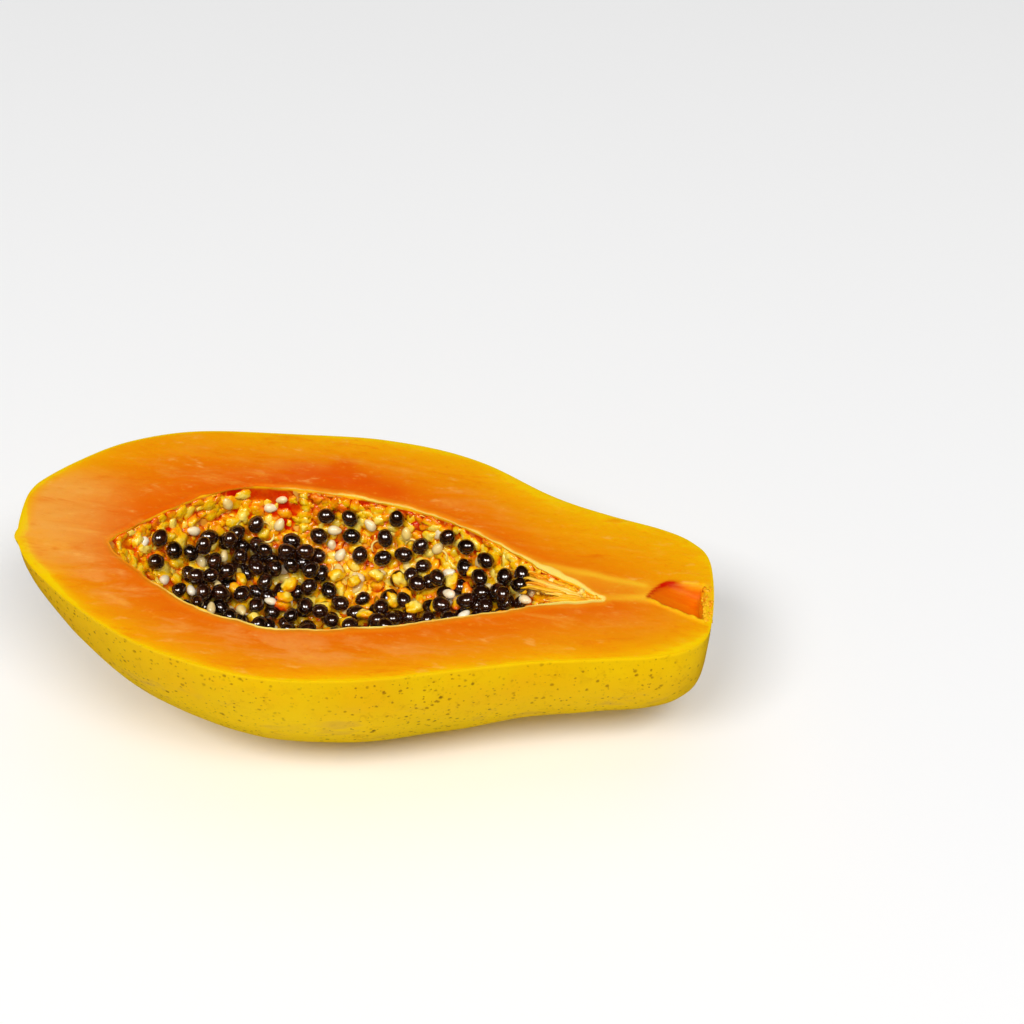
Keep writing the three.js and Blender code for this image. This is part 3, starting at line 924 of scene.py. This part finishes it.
def eggs(middle, axes, half, taper, rings, columns, lumps=0.0, lump_size=0.9):
    """Eggs: directions over a ball times the half sizes, slimmer towards the point by the taper,
    swollen by smooth noise of their own, and turned into their axes round their middles."""
    turn = np.arange(columns) * 2 * np.pi / columns
    tilt = np.linspace(0, np.pi, rings + 2)[1:-1, None]
    ball = np.stack([np.cos(tilt) + 0 * turn, np.sin(tilt) * np.cos(turn), np.sin(tilt) * np.sin(turn)], -1)
    ball = np.concatenate([ball.reshape(-1, 3), [[1.0, 0, 0], [-1.0, 0, 0]]])
    slim = 1 - taper * ball[:, :1]
    shape = (ball * np.concatenate([np.ones_like(slim), slim, slim], 1))[None] * half[:, None]
    own = 9.0 * np.arange(len(middle))[:, None, None]
    swollen = 1 + lumps * rough_noise(ball[None] + own, lump_size, seed=41, octaves=2)
    return middle[:, None] + (shape * swollen[..., None]) @ axes


def strands(paths, radii, lift, flatness, sides):
    """Tubes along many paths: at each point of a path stands an oval ring across it, upright
    along lift, and the ends close on the path's own ends."""
    ahead = unit(np.gradient(paths, axis=1))
    side = unit(np.cross(ahead, lift))
    upright = np.cross(side, ahead)
    turn = (np.arange(sides) * 2 * np.pi / sides)[:, None]
    ring = np.cos(turn) * side[:, :, None] + flatness * np.sin(turn) * upright[:, :, None]
    grid = paths[:, :, None] + radii[..., None, None] * ring
    return np.concatenate([grid.reshape(len(paths), -1, 3), paths[:, :1], paths[:, -1:]], 1)


def wall_frame(x, degrees):
    """Points of the smooth wall with three directions each: along the fruit, round the hollow and
    into the hollow, from small steps on the wall."""
    lengthwise = unit(on_wall(x + 0.5, degrees) - on_wall(x - 0.5, degrees))
    around = unit(on_wall(x, degrees + 1.15) - on_wall(x, degrees - 1.15))
    return on_wall(x, degrees), lengthwise, around, unit(np.cross(around, lengthwise))


deepest = wall_frame(np.array(80.0), 90.0)
print("a point of the wall and its inward direction:", deepest[0].round(1), deepest[3].round(2))

# %% [markdown]
# ## Seed finishes
# A ripe seed sits in a thin jelly coat. The coat is nearly black over the seed, lets some brown
# through and mirrors every lamp as a hard glint: a clear coat over a dark rough base does that, and
# a brown sheen lightens the rim of each seed. A seed that never filled is cream and soft.

# %% Dark and pale seed finish
f = dark_seed_finish = Finish(
    "dark_jelly_seed", Roughness=0.3, Specular_IOR_Level=0.3, Coat_Weight=1.0, Coat_Roughness=0.04,
    Coat_IOR=1.9, Sheen_Weight=0.09, Sheen_Roughness=0.35, Sheen_Tint=screen(190, 84, 44),
    Specular_Tint=(1.0, 0.6, 0.4, 1.0))
jelly = f.noise(420.0, 3.0, 0.6)
f.drive(
    Base_Color=f.coats(f.mix(f.stored("tone"), (6, 2, 1), (36, 12, 5)),
                       (jelly.rise(0.52, 0.8) * 0.8, (96, 40, 14))),
    Roughness=jelly * 0.3 + 0.2, Normal=f.bump(f.noise(900.0, distortion=1.2), 0.0003, 0.35))

f = pale_seed_finish = Finish("pale_soft_seed", Roughness=0.35, Specular_IOR_Level=0.5,
                              Coat_Weight=0.6, Coat_Roughness=0.1)
f.drive(
    Base_Color=f.coats(f.mix(f.stored("tone"), (254, 242, 214), (244, 206, 96)),
                       (f.noise(500.0, 3.0).rise(0.5, 0.75) * 0.6, (222, 168, 70))),
    Roughness=f.noise(300.0) * 0.2 + 0.25, Normal=f.bump(f.noise(800.0, 3.0), 0.0003, 0.5))

# %% [markdown]
# ## The seeds of the frame
# Each solid seed of the frame gets a finer one in its place. Its middle is the mean of its corners,
# its axes are the directions in which the corners spread most, less and least, and the butt is the
# end where they lie farther from the long axis.

# %% Seeds that stand for solids
DARK_HALF, DARK_TAPER = np.array([2.75, 2.35, 2.15]), 0.1
PALE_HALF, PALE_TAPER = np.array([2.1, 1.4, 1.2]), 0.2
SEED_GRID = (9, 16)


def seed_frame(node):
    """Middle and axes of a solid seed, as rows: long, across and through."""
    corners = level(np.array([corner.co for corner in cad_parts[node].data.vertices]))
    middle = corners.mean(0)
    axes = np.linalg.svd(corners - middle, full_matrices=False)[2]
    seen = (corners - middle) @ axes.T
    if (seen[:, 0] * (seen[:, 1] ** 2 + seen[:, 2] ** 2)).sum() > 0:
        axes[0] *= -1
    axes[2] = np.cross(axes[0], axes[1])
    return middle, axes


laid_middle, laid_axes, laid_half = [], [], []


def lay_down(middle, axes, half):
    """Keeps an egg as laid, so that later ones are laid clear of it."""
    for kept, value in ((laid_middle, middle), (laid_axes, axes), (laid_half, half)):
        kept.append(value)


for number, node in enumerate(seed_nodes):
    finish, slot, half, taper = (
        (dark_seed_finish, "dark_seed", DARK_HALF, DARK_TAPER) if node.startswith("dark")
        else (pale_seed_finish, "pale_seed", PALE_HALF, PALE_TAPER))
    middle, axes = seed_frame(node)
    points = eggs(middle[None], axes[None], half[None], taper, *SEED_GRID, 0.035)
    points = points + (rough_noise(points, 1.3, seed=number, octaves=2) * 0.07)[..., None]
    tone = float(lattice_random(np.array([number, 3, 5]), 2))
    finish_piece(make_many("fine_" + node, points, *SEED_GRID), finish, slot, [tone], node)
    lay_down(middle, axes, half)
print("seeds that stand for solids:", len(laid_middle))

# %% [markdown]
# ## The rest of the heap
# A papaya holds hundreds of seeds, so the gaps are filled with more. Each is laid on the wall and
# lifted in small steps until it clears the seeds below it, and one that would end up too high is
# left out. How near two eggs may come is judged by their reach towards each other. Bits of pulp and
# a few pale seeds are laid in the same way, so that they lie among the dark ones.

# %% Places for more seeds
LIFTS = np.arange(-0.9, 5.2, 0.3)
HIGHEST_TOP = 0.3
LEAN = 0.35  # spread of the tilt, as a slope
SIZES = (0.9, 1.06)  # least and most, as shares of the full size
PALE_SHARE = 0.17
BARE = (84, 108, 38, 68)
HEAPS = [  # x from, x to, degrees from, degrees to, tries, highest lift, gap
    (50, 80, 36, 94, 160, 0.6, -0.9), (44, 84, 36, 92, 150, 4.6, -0.3), (108, 148, 50, 96, 420, 4.2, -0.5),
    (48, 142, 78, 112, 240, 3.6, -0.3), (44, 142, 100, 152, 240, 0.9, -0.3), (84, 140, 8, 40, 8, 0.3, -0.3),
]
MORE_DARK = [  # x, degrees, as in the next lists
    (129, 77), (99, 66), (82, 76), (75, 38), (61, 40), (56, 35), (59, 68), (84, 40), (139, 66),
    (133, 60), (111, 62), (104, 75), (116, 41), (90, 80), (66, 49), (104, 87), (97, 88), (83, 77),
]
MORE_PALE = [
    (111, 42), (114, 70), (136, 59), (124, 84), (72, 8), (35, 41), (38, 45), (42, 83), (65, 85),
    (77, 71), (94, 73), (75, 55), (97, 58), (132, 30), (69, 14), (88, 33),
]
PULP_BITS = [
    (53, 41), (61, 73), (76, 77), (77, 63), (50, 62), (44, 60), (50, 29), (41, 33), (87, 68),
    (88, 75), (60, 32), (77, 37), (92, 75), (64, 83), (109, 72), (123, 80), (116, 84), (122, 55),
    (129, 82), (137, 58), (101, 84), (106, 73), (112, 66), (132, 40), (127, 55), (68, 60), (70, 88),
    (96, 90),
]
TOP_PALE = [
    (52, 52), (57, 64), (63, 72), (68, 58), (72, 77), (61, 52), (78, 68), (66, 84), (55, 76), (49, 66),
]
TOP_BITS = [(59, 57), (70, 66), (54, 70), (65, 78), (76, 74), (62, 64)]
BIT_HALF = np.array([2.5, 1.9, 1.5])
dice = np.random.default_rng(5)
print("places given by hand:", sum(map(len, (MORE_DARK, MORE_PALE, PULP_BITS, TOP_PALE, TOP_BITS))))

# %% Laying one egg on the others
def strewn(count, *ranges):
    """Random points, each number drawn evenly from its own range."""
    return np.stack([dice.uniform(low, high, count) for low, high in ranges], -1)


def in_bare(spots):
    """Which places lie in the patch of wall that the heap leaves bare."""
    return ((spots > [BARE[0], BARE[2]]) & (spots < [BARE[1], BARE[3]])).all(1)


def reach(half, axes, toward):
    """How far eggs reach from their middles in directions: the length of each direction's parts
    along the axes, times the half sizes."""
    return np.linalg.norm(half * np.einsum("...ij,...j->...i", axes, toward), axis=-1)


def lay(x, degrees, half, most_lift, gap):
    """Lays one more egg, unless it would be lifted too far or stand proud."""
    point, lengthwise, around, into = wall_frame(np.array(float(x)), float(degrees))
    turn, lean = dice.uniform(0, 2 * np.pi), dice.normal(0, LEAN, 2)
    up = into + lean[0] * lengthwise + lean[1] * around
    up /= np.linalg.norm(up)
    long = np.cos(turn) * lengthwise + np.sin(turn) * around
    long -= (long @ up) * up
    long /= np.linalg.norm(long)
    axes = np.stack([long, np.cross(up, long), up])
    middles = point + (reach(half, axes, into) + LIFTS[:, None]) * into
    apart = np.array(laid_middle) - middles[:, None]
    distance = np.linalg.norm(apart, axis=-1)
    toward = apart / np.maximum(distance[..., None], 1e-6)
    needed = reach(half, axes, toward) + reach(np.array(laid_half), np.array(laid_axes)[None], toward)
    clear = (distance > needed + gap).all(1)
    first = int(np.argmax(clear))
    top = middles[first, 2] + reach(half, axes, np.array([0.0, 0, 1.0]))
    if clear[first] and LIFTS[first] <= most_lift and top <= HIGHEST_TOP:
        lay_down(middles[first], axes, half)


def lay_all(places, half, most_lift, gap):
    """Lays eggs of slightly varied size at each place and returns the numbers of those laid."""
    before = len(laid_middle)
    for x, degrees in places:
        lay(x, degrees, half * dice.uniform(*SIZES), most_lift, gap)
    return list(range(before, len(laid_middle)))


def laid(numbers):
    """Middles, axes and half sizes of some of the laid eggs."""
    return (np.array([kind[k] for k in numbers]) for kind in (laid_middle, laid_axes, laid_half))


print("each egg tries up to", len(LIFTS), "heights")

# %% Filling the gaps
more_dark = lay_all(MORE_DARK, DARK_HALF, 4.0, -0.5)
more_pale = lay_all(MORE_PALE, PALE_HALF, 4.0, -0.4)
bit_spots = strewn(40, (44, 142), (42, 92))
more_bits = lay_all(PULP_BITS, BIT_HALF, 4.4, -0.7) + lay_all(bit_spots, BIT_HALF, 2.4, -0.7)
for low, high, first, last, tries, most_lift, gap in HEAPS:
    spots = strewn(tries, (low, high), (first, last))
    spots = spots[~in_bare(spots)]
    pale = dice.uniform(size=len(spots)) < PALE_SHARE
    more_dark += lay_all(spots[~pale], DARK_HALF, most_lift, gap)
    more_pale += lay_all(spots[pale], PALE_HALF, most_lift, -0.1)
more_pale += lay_all(TOP_PALE, PALE_HALF, 5.2, -0.5)
more_bits += lay_all(TOP_BITS, BIT_HALF, 5.2, -0.7)

HEAP_GRID = (7, 12)
for name, numbers, taper, finish, slot in (
    ("heap_of_dark_seeds", more_dark, DARK_TAPER, dark_seed_finish, "dark_seed"),
    ("scattered_pale_seeds", more_pale, PALE_TAPER, pale_seed_finish, "pale_seed"),
):
    heap = make_many(name, eggs(*laid(numbers), taper, *HEAP_GRID, 0.05), *HEAP_GRID)
    finish_piece(heap, finish, slot, dice.uniform(size=len(numbers)))
print("more dark seeds:", len(more_dark), "more pale seeds:", len(more_pale))

# %% Painted shade under the thick of the heap
dark_laid = [k for k, node in enumerate(seed_nodes) if node.startswith("dark")] + more_dark
dark_middles = np.array([laid_middle[k] for k in dark_laid])
HEAP_SHADE_REACH = 5.0


def heap_shade_at(points):
    """0 to 1: each dark seed adds a bell curve over its distance, and a place with many of them
    near gets painted shade, as the gaps between heaped seeds lie in shadow."""
    away = np.linalg.norm(points[..., None, :] - dark_middles, axis=-1)
    return rise(1.6, 3.4, bell(away / HEAP_SHADE_REACH).sum(-1))


# Shade is painted on the wall where the seeds lie thick; the printed share is that of painted shade.
wall_heap_shade = heap_shade_at(wall[inner])
give_body("stain", wall_heap_shade)
print("stained share of the wall:", round(float((wall_heap_shade > 0.5).mean()), 2))

# %% [markdown]
# ## Pulp
# Between the seeds the wall carries small wet sacs of pulp, golden to deep orange. Each sac is
# painted deeper orange-red towards the wall side as shade, and under the thick of the seeds it takes
# the painted dark shade. They are eggs again, flattened against the wall and half sunk in it, with
# strong lumps. Some are larger and ragged, torn open when the fruit was cut. Sacs keep their
# distance from each other, and places where the pulp came off are left bare. The loose bits laid
# with the seeds join the ragged lumps.

# %% Pulp finish
PULP_COLOURS = [(0.0, (210, 34, 0)), (0.2, (236, 88, 0)), (0.42, (252, 142, 0)), (0.64, (255, 180, 0)),
                (0.82, (255, 202, 8)), (1.0, (255, 222, 92))]
f = pulp_finish = Finish("golden_pulp", Roughness=0.28, Specular_IOR_Level=0.4, Coat_Weight=0.6,
                         Coat_Roughness=0.1, Specular_Tint=(1.0, 0.85, 0.45, 1.0))
# The height term paints shade: low on each sac, towards the wall, the colour turns deeper orange-red.
pulp_tone = f.stored("tone") + f.stored("height") * 0.46 + f.noise(480.0, 4.0, 0.65) * 1.1 - 0.825
f.drive(
    # under the heap the sacs take the same painted shade
    Base_Color=f.mix(f.stored("stain") * 0.75, f.ramp(PULP_COLOURS, pulp_tone), HEAP_SHADE_BROWN),
    Roughness=f.noise(260.0) * 0.25 + 0.16, Normal=f.bump(f.noise(640.0, 3.0, 0.6), 0.0008, 0.7))

# %% Eggs on the wall
SAC_TRIES, SAC_SPACING = 7000, 1.6
SAC_AREA = ((29, 166), (3.5, 176))  # x and degrees
STRAY_SHARE, MOST_TORN = 0.12, 0.03  # only strays lie where the wall is torn more than this
WIDEST_HALF = 30
SAC_HALF, SAC_SINK = np.array([2.0, 1.4, 0.75]), 0.2
SAC_GRID, LUMP_GRID = (5, 8), (12, 18)
LARGE_HALF = 2.3  # half length from which a laid egg counts as large
NEAR_EGG, TOO_MANY_NEAR = 4.6, 4
RAGGED_LUMPS = [  # x, degrees, size
    (43.5, 35, 1.5), (52.5, 59, 1.0), (64, 71, 1.2), (67.5, 30, 1.0), (88, 64, 1.0), (81, 73, 0.9),
    (90.5, 66, 0.9), (33.5, 30, 0.9), (35, 51, 0.9), (56.5, 42, 0.9), (54, 29, 1.0), (74.5, 37, 0.9),
    (79, 24, 0.8), (80, 33, 0.8), (93.5, 27, 0.9), (97, 27, 0.8), (47, 20, 1.0), (61, 19, 1.1),
    (65, 15, 1.0), (65, 23, 0.9), (58, 24, 1.0), (39, 24, 1.0), (101, 12, 0.9), (117, 17, 1.0),
]
RAGGED_HALF, RAGGED_SINK = np.array([2.3, 1.8, 1.3]), 0.55


def wall_eggs(places, half, sink):
    """Middles and axes of eggs that lie on the wall, each turned its own way. Their middles are
    off the wall by only a share of their half thickness, so that they sink into it."""
    point, lengthwise, around, into = wall_frame(places[:, 0], places[:, 1])
    turn = dice.uniform(0, 2 * np.pi, len(places))[:, None]
    long = np.cos(turn) * lengthwise + np.sin(turn) * around
    axes = np.stack([long, np.cross(into, long), into], 1)
    return point + (sink * half[:, 2])[:, None] * into, axes


def below_rim(points):
    """Moves shapes down until the highest point of each lies 0.25 mm below the rim or lower."""
    return points - np.array([0, 0, 1.0]) * np.maximum(points[..., 2].max(1) + 0.25, 0)[:, None, None]


def keep_apart(points, spacing):
    """Numbers of the points that are farther than the spacing from all kept before them."""
    apart = np.linalg.norm(points[:, None] - points[None], axis=-1) < spacing
    kept = np.zeros(len(points), bool)
    for k in range(len(points)):
        kept[k] = not (apart[k, :k] & kept[:k]).any()
    return np.flatnonzero(kept)


def make_pulp(name, points, grid, middle, axes, half):
    """A piece of pulp eggs that stores how high each point lies in its own egg, from -1 at the
    wall side to 1."""
    piece = make_many(name, points, *grid)
    give(piece, "height", ((points - middle[:, None]) * axes[:, None, 2]).sum(-1) / half[:, None, 2])
    return piece


print("tries for sacs:", SAC_TRIES, "and ragged lumps given by hand:", len(RAGGED_LUMPS))

# %% Sacs
spots = strewn(SAC_TRIES, *SAC_AREA)
spots = spots[dice.uniform(size=SAC_TRIES) < cavity_half_width(spots[:, 0]) / WIDEST_HALF]
most_torn = np.where(dice.uniform(size=len(spots)) < STRAY_SHARE, np.inf, MOST_TORN)
spots = spots[torn_at(on_wall(*spots.T)) < most_torn]
large_eggs = np.array([middle for middle, half in zip(laid_middle, laid_half) if half[0] > LARGE_HALF])
crowding = np.linalg.norm(on_wall(*spots.T)[:, None] - large_eggs, axis=-1) < NEAR_EGG
spots = spots[crowding.sum(1) < TOO_MANY_NEAR]
spots = spots[keep_apart(on_wall(*spots.T), SAC_SPACING)]
size = dice.uniform(0.65, 1.35, (len(spots), 1))
sac_half = SAC_HALF * size * dice.uniform(0.8, 1.2, (len(spots), 3))
sac_half[in_bare(spots)] *= [1.2, 1.2, 0.6]
sac_middle, sac_axes = wall_eggs(spots, sac_half, SAC_SINK)
sac_tone = np.clip(dice.normal(0.58, 0.2, len(spots)), 0, 1)
sac_points = below_rim(eggs(sac_middle, sac_axes, sac_half, 0.1, *SAC_GRID, 0.55, 0.65))
sacs = make_pulp("pulp_sacs", sac_points, SAC_GRID, sac_middle, sac_axes, sac_half)
# painted shade under the heap, as on the wall
give(sacs, "stain", np.repeat(heap_shade_at(sac_middle), sac_points.shape[1]))
finish_piece(sacs, pulp_finish, "ripe_fruit", sac_tone)
print("sacs:", len(spots))

# %% Ragged lumps
lump_places = np.array(RAGGED_LUMPS)
lump_half = RAGGED_HALF * lump_places[:, 2:]
lumps = (*wall_eggs(lump_places, lump_half, RAGGED_SINK), lump_half)
lump_middle, lump_axes, lump_half = (np.concatenate(pair) for pair in zip(lumps, laid(more_bits)))
lump_points = eggs(lump_middle, lump_axes, lump_half, 0.0, *LUMP_GRID, 0.34, 0.7)
lump_points += (rough_noise(lump_points, 0.9, seed=77) * 0.16)[..., None] * lump_axes[:, None, 2]
lump_points = below_rim(lump_points)
ragged = make_pulp("ragged_pulp", lump_points, LUMP_GRID, lump_middle, lump_axes, lump_half)
finish_piece(ragged, pulp_finish, "ripe_fruit", dice.uniform(0.5, 0.9, len(lump_middle)))
print("ragged lumps:", len(lump_middle))

# %% [markdown]
# ## Torn fibres
# The knife tears soft threads: cream crescents that were the walls of seed coats, a fringe along the
# rim, a ragged flap of fine golden threads at the stem side of the hollow, and the broken end of
# the stem. All of them are strands. A crescent is an arc of a circle lying on the wall.

# %% Fibre finish and crescents
f = fibre_finish = Finish("cream_fibres", Roughness=0.4, Specular_IOR_Level=0.35, Coat_Weight=0.2,
                          Coat_Roughness=0.2, Specular_Tint=(1.0, 0.85, 0.5, 1.0))
fibre_tone = f.stored("tone") + f.noise(300.0) * 0.4 - 0.2
f.drive(
    Base_Color=f.coats(f.mix(fibre_tone.rise(0.0, 0.5), (254, 234, 150), (252, 192, 26)),
                       (fibre_tone.rise(0.5, 1.0), (240, 134, 0))),
    Normal=f.bump(f.noise(900.0), 0.0003, 0.5))

CRESCENTS = [(67.5, 27), (68.5, 31), (56, 36), (65, 59), (55, 61), (90.5, 64), (48, 43), (79, 60), (61, 27),
             (102, 31), (112, 27), (121, 32), (87, 47), (73, 45), (127, 66), (44, 40)]
CRESCENT_RADIUS, CRESCENT_HEIGHT, CRESCENT_THREAD = 2.0, 1.6, 0.34
ARC = np.radians(np.linspace(-75, 75, 11))[:, None]
STRAND_SIDES = 6


def swelling(paths, thickness):
    """Radii along paths: thin at both ends and uneven between, by the sine of the run."""
    run = np.linspace(0, np.pi, paths.shape[1])
    return thickness * (0.25 + 0.75 * np.sin(run)) * (1 + 0.3 * smooth_noise(paths, 0.8, seed=9))


def make_threads(name, slot, paths, radii, least_tone, most_tone, lift=(0, 0, 1.0), flatness=0.7):
    """One piece of strands, each with a tone drawn between the least and the most."""
    points = strands(paths, radii, lift, flatness, STRAND_SIDES)
    piece = make_many(name, points, paths.shape[1], STRAND_SIDES)
    finish_piece(piece, fibre_finish, slot, dice.uniform(least_tone, most_tone, len(paths)))


places = np.array(CRESCENTS, float)
point, lengthwise, around, into = (part[:, None] for part in wall_frame(places[:, 0], places[:, 1]))
angle = dice.uniform(0, 2 * np.pi, (len(places), 1, 1)) + ARC[None]
crescent = CRESCENT_RADIUS * (np.cos(angle) * lengthwise + np.sin(angle) * around)
crescent = point + CRESCENT_HEIGHT * into + crescent
make_threads("cream_crescents", "pale_seed", crescent, swelling(crescent, CRESCENT_THREAD), 0, 0.3, into)
print("crescents:", len(crescent))

# %% Fringe, flap and stem end
FLAP_STRANDS, FRINGE_STRANDS, SCAR_STRANDS = 120, 60, 90
FLAP_THREAD, FRINGE_THREAD, SCAR_THREAD = 0.6, 0.36, 0.5  # radii in millimetres
FLAP_FROM_FAR, FLAP_FROM_NEAR, FLAP_END = 141.0, 151.5, 166.6
SCAR_BOX = ((196.4, 198.9), (-15.6, -1.0), (-0.9, 0.0))


def wandering(paths, amount, size, seed):
    """Paths pushed about by smooth noise, a different field for each axis."""
    push = np.stack([smooth_noise(paths, size, seed + k) for k in range(3)], -1)
    return paths + amount * push


def between_columns(loop, columns):
    """Points of a loop at places that may lie between its columns."""
    return np.stack([np.interp(columns, np.arange(len(loop)), axis) for axis in loop.T], -1)


one_each = (FLAP_STRANDS, 1)
flap_side = dice.uniform(-0.85, 0.85, one_each)
flap_start = np.where(flap_side > 0, FLAP_FROM_FAR, FLAP_FROM_NEAR) + dice.uniform(0, 12, one_each)
flap_end = np.minimum(flap_start + dice.uniform(8, 15, one_each), FLAP_END)
flap_x = flap_start + (flap_end - flap_start) * np.linspace(0, 1, 12)
flap_half = cavity_half_width(flap_x)
flap_depth = 0.55 + dice.uniform(0, 0.24, one_each) * flap_half
flap_depth = flap_depth + 2.5 * rise(148, 141, flap_x)
flap = np.stack([flap_x, cavity_middle(flap_x) + flap_half * flap_side, -flap_depth], -1)
flap = wandering(flap, 0.35, 1.3, 51)
flap_radii = swelling(flap, FLAP_THREAD) * np.clip(flap_half / 6, 0.35, 1)
flap_radii = flap_radii * dice.uniform(0.6, 1.3, one_each)
make_threads("stem_side_flap", "ripe_fruit", flap, flap_radii, 0.2, 1.0, flatness=0.6)

columns = dice.integers(0, COLUMNS, FRINGE_STRANDS)[:, None] + np.arange(8)[None] * 1.0
columns = (columns + dice.uniform(-0.4, 0.4, columns.shape)) % COLUMNS
fringe = between_columns(np.concatenate([rim, rim[:1]]), columns)
fringe = fringe + between_columns(inward[0], columns) * dice.uniform(-0.1, 0.35, (FRINGE_STRANDS, 1, 1))
fringe[..., 2] -= dice.uniform(0.2, 2.2, (FRINGE_STRANDS, 1))
fringe = wandering(fringe, 0.35, 1.5, 61)
fringe = fringe[torn_at(fringe[:, 4]) < 0.2]
make_threads("rim_fringe", "ripe_fruit", fringe, swelling(fringe, FRINGE_THREAD), 0.35, 0.9)

scar_from = strewn(SCAR_STRANDS, *SCAR_BOX)
scar_step = np.stack([dice.uniform(-0.4, 0.6, SCAR_STRANDS), dice.normal(0, 1.5, SCAR_STRANDS),
                      dice.uniform(-0.2, 0.5, SCAR_STRANDS)], -1)
scar = scar_from[:, None] + scar_step[:, None] * np.linspace(-1, 1, 7)[None, :, None]
scar = np.clip(wandering(scar, 0.4, 1.2, 71), [190, -15.8, -3], [198.8, -0.8, 1])
make_threads("broken_stem_end", "ripe_fruit", scar, swelling(scar, SCAR_THREAD), 0.5, 0.85, (0.1, 0, 1.0))
print("strands of flap, fringe and stem end:", len(flap), len(fringe), len(scar))

# %% Crumbs of the flap and of the stem end
FLAP_CRUMBS, SCAR_CRUMBS = 40, 14
CRUMB_GRID = (5, 8)


def loose_crumbs(name, middle, least, most, least_tone, most_tone):
    """Small lumpy eggs turned any way: their axes are those of random square matrices."""
    tones = dice.uniform(least_tone, most_tone, len(middle))
    axes = np.linalg.qr(dice.normal(size=(len(middle), 3, 3)))[0]
    half = dice.uniform(least, most, (len(middle), 1)) * dice.uniform(0.6, 1.2, (len(middle), 3))
    piece = make_many(name, eggs(middle, axes, half, 0.0, *CRUMB_GRID, 0.45, 0.7), *CRUMB_GRID)
    finish_piece(piece, fibre_finish, "ripe_fruit", tones)


crumb_x = dice.uniform(145, 167, FLAP_CRUMBS)
to_rim = dice.uniform(0.1, 1, FLAP_CRUMBS)
crumb_half = cavity_half_width(crumb_x)
crumb_middle = np.stack([crumb_x, cavity_middle(crumb_x) + 0.93 * crumb_half * to_rim,
                         -0.35 - 0.5 * crumb_half * (1 - to_rim)], -1)
loose_crumbs("stem_side_crumbs", crumb_middle, 0.4, 1.05, 0.2, 0.8)
scar_middle = strewn(SCAR_CRUMBS, (196.4, 198.0), (-15.8, -1.0), (-0.4, 0.1))
loose_crumbs("stem_end_crumbs", scar_middle, 0.35, 0.9, 0.5, 0.85)
print("crumbs:", FLAP_CRUMBS + SCAR_CRUMBS)

# %% [markdown]
# ## Floor and light
# A pale floor and soft lights leave the colours to the fruit. Two small bright windows stand side by
# side, which puts the paired glints on wet seeds. The wide light overhead, the sky and the floor only
# fill the shadows: dark wet seeds would mirror them as a grey veil, so mirror rays don't see them.

# %% Floor and lights
FLOOR_SIZE = 16.0
LIT_POINT = np.array([0, 0, 0.04])
SKY_STRENGTH = 0.19
floor_points = np.array([[-1, -1, 0], [1, -1, 0], [1, 1, 0], [-1, 1, 0]]) * FLOOR_SIZE / 2
floor = make_mesh("floor", floor_points, [[0, 1, 2, 3]])
f = floor_finish = Finish("pale_floor", Roughness=0.9, Specular_IOR_Level=0.1)
f.drive(Base_Color=f.mix(f.noise(3.0), (0.93, 0.93, 0.93, 1), (0.95, 0.95, 0.95, 1)))
floor.data.materials.append(floor_finish.material)
floor.visible_glossy = False


def soft_light(name, azimuth, elevation, distance, size, power, mirrored=True):
    """A rectangular light that looks at the fruit from a direction given as for the camera. One
    that isn't mirrored lights the fruit but can't be seen in wet surfaces."""
    data = bpy.data.lights.new(name, "AREA")
    data.shape, data.energy = "RECTANGLE", power
    data.size, data.size_y = size
    lamp = bpy.data.objects.new(name, data)
    bpy.context.collection.objects.link(lamp)
    lamp.visible_glossy = mirrored
    toward = direction(math.radians(azimuth), math.radians(elevation))
    look(lamp, LIT_POINT + distance * toward, LIT_POINT)


soft_light("window_left", -25, 50, 3.0, (1.3, 0.9), 45.3)
soft_light("window_right", 27, 52, 3.0, (1.25, 0.85), 43.3)
soft_light("overhead", 190, 76, 2.6, (2.4, 2.4), 9, mirrored=False)
world = bpy.context.scene.world or bpy.data.worlds.new("world")
bpy.context.scene.world = world
world.use_nodes = True
sky = world.node_tree.nodes["Background"].inputs
sky["Color"].default_value, sky["Strength"].default_value = (1, 1, 1, 1), SKY_STRENGTH
world.cycles_visibility.glossy = False
bpy.context.scene.view_settings.view_transform = "Standard"

# %% [markdown]
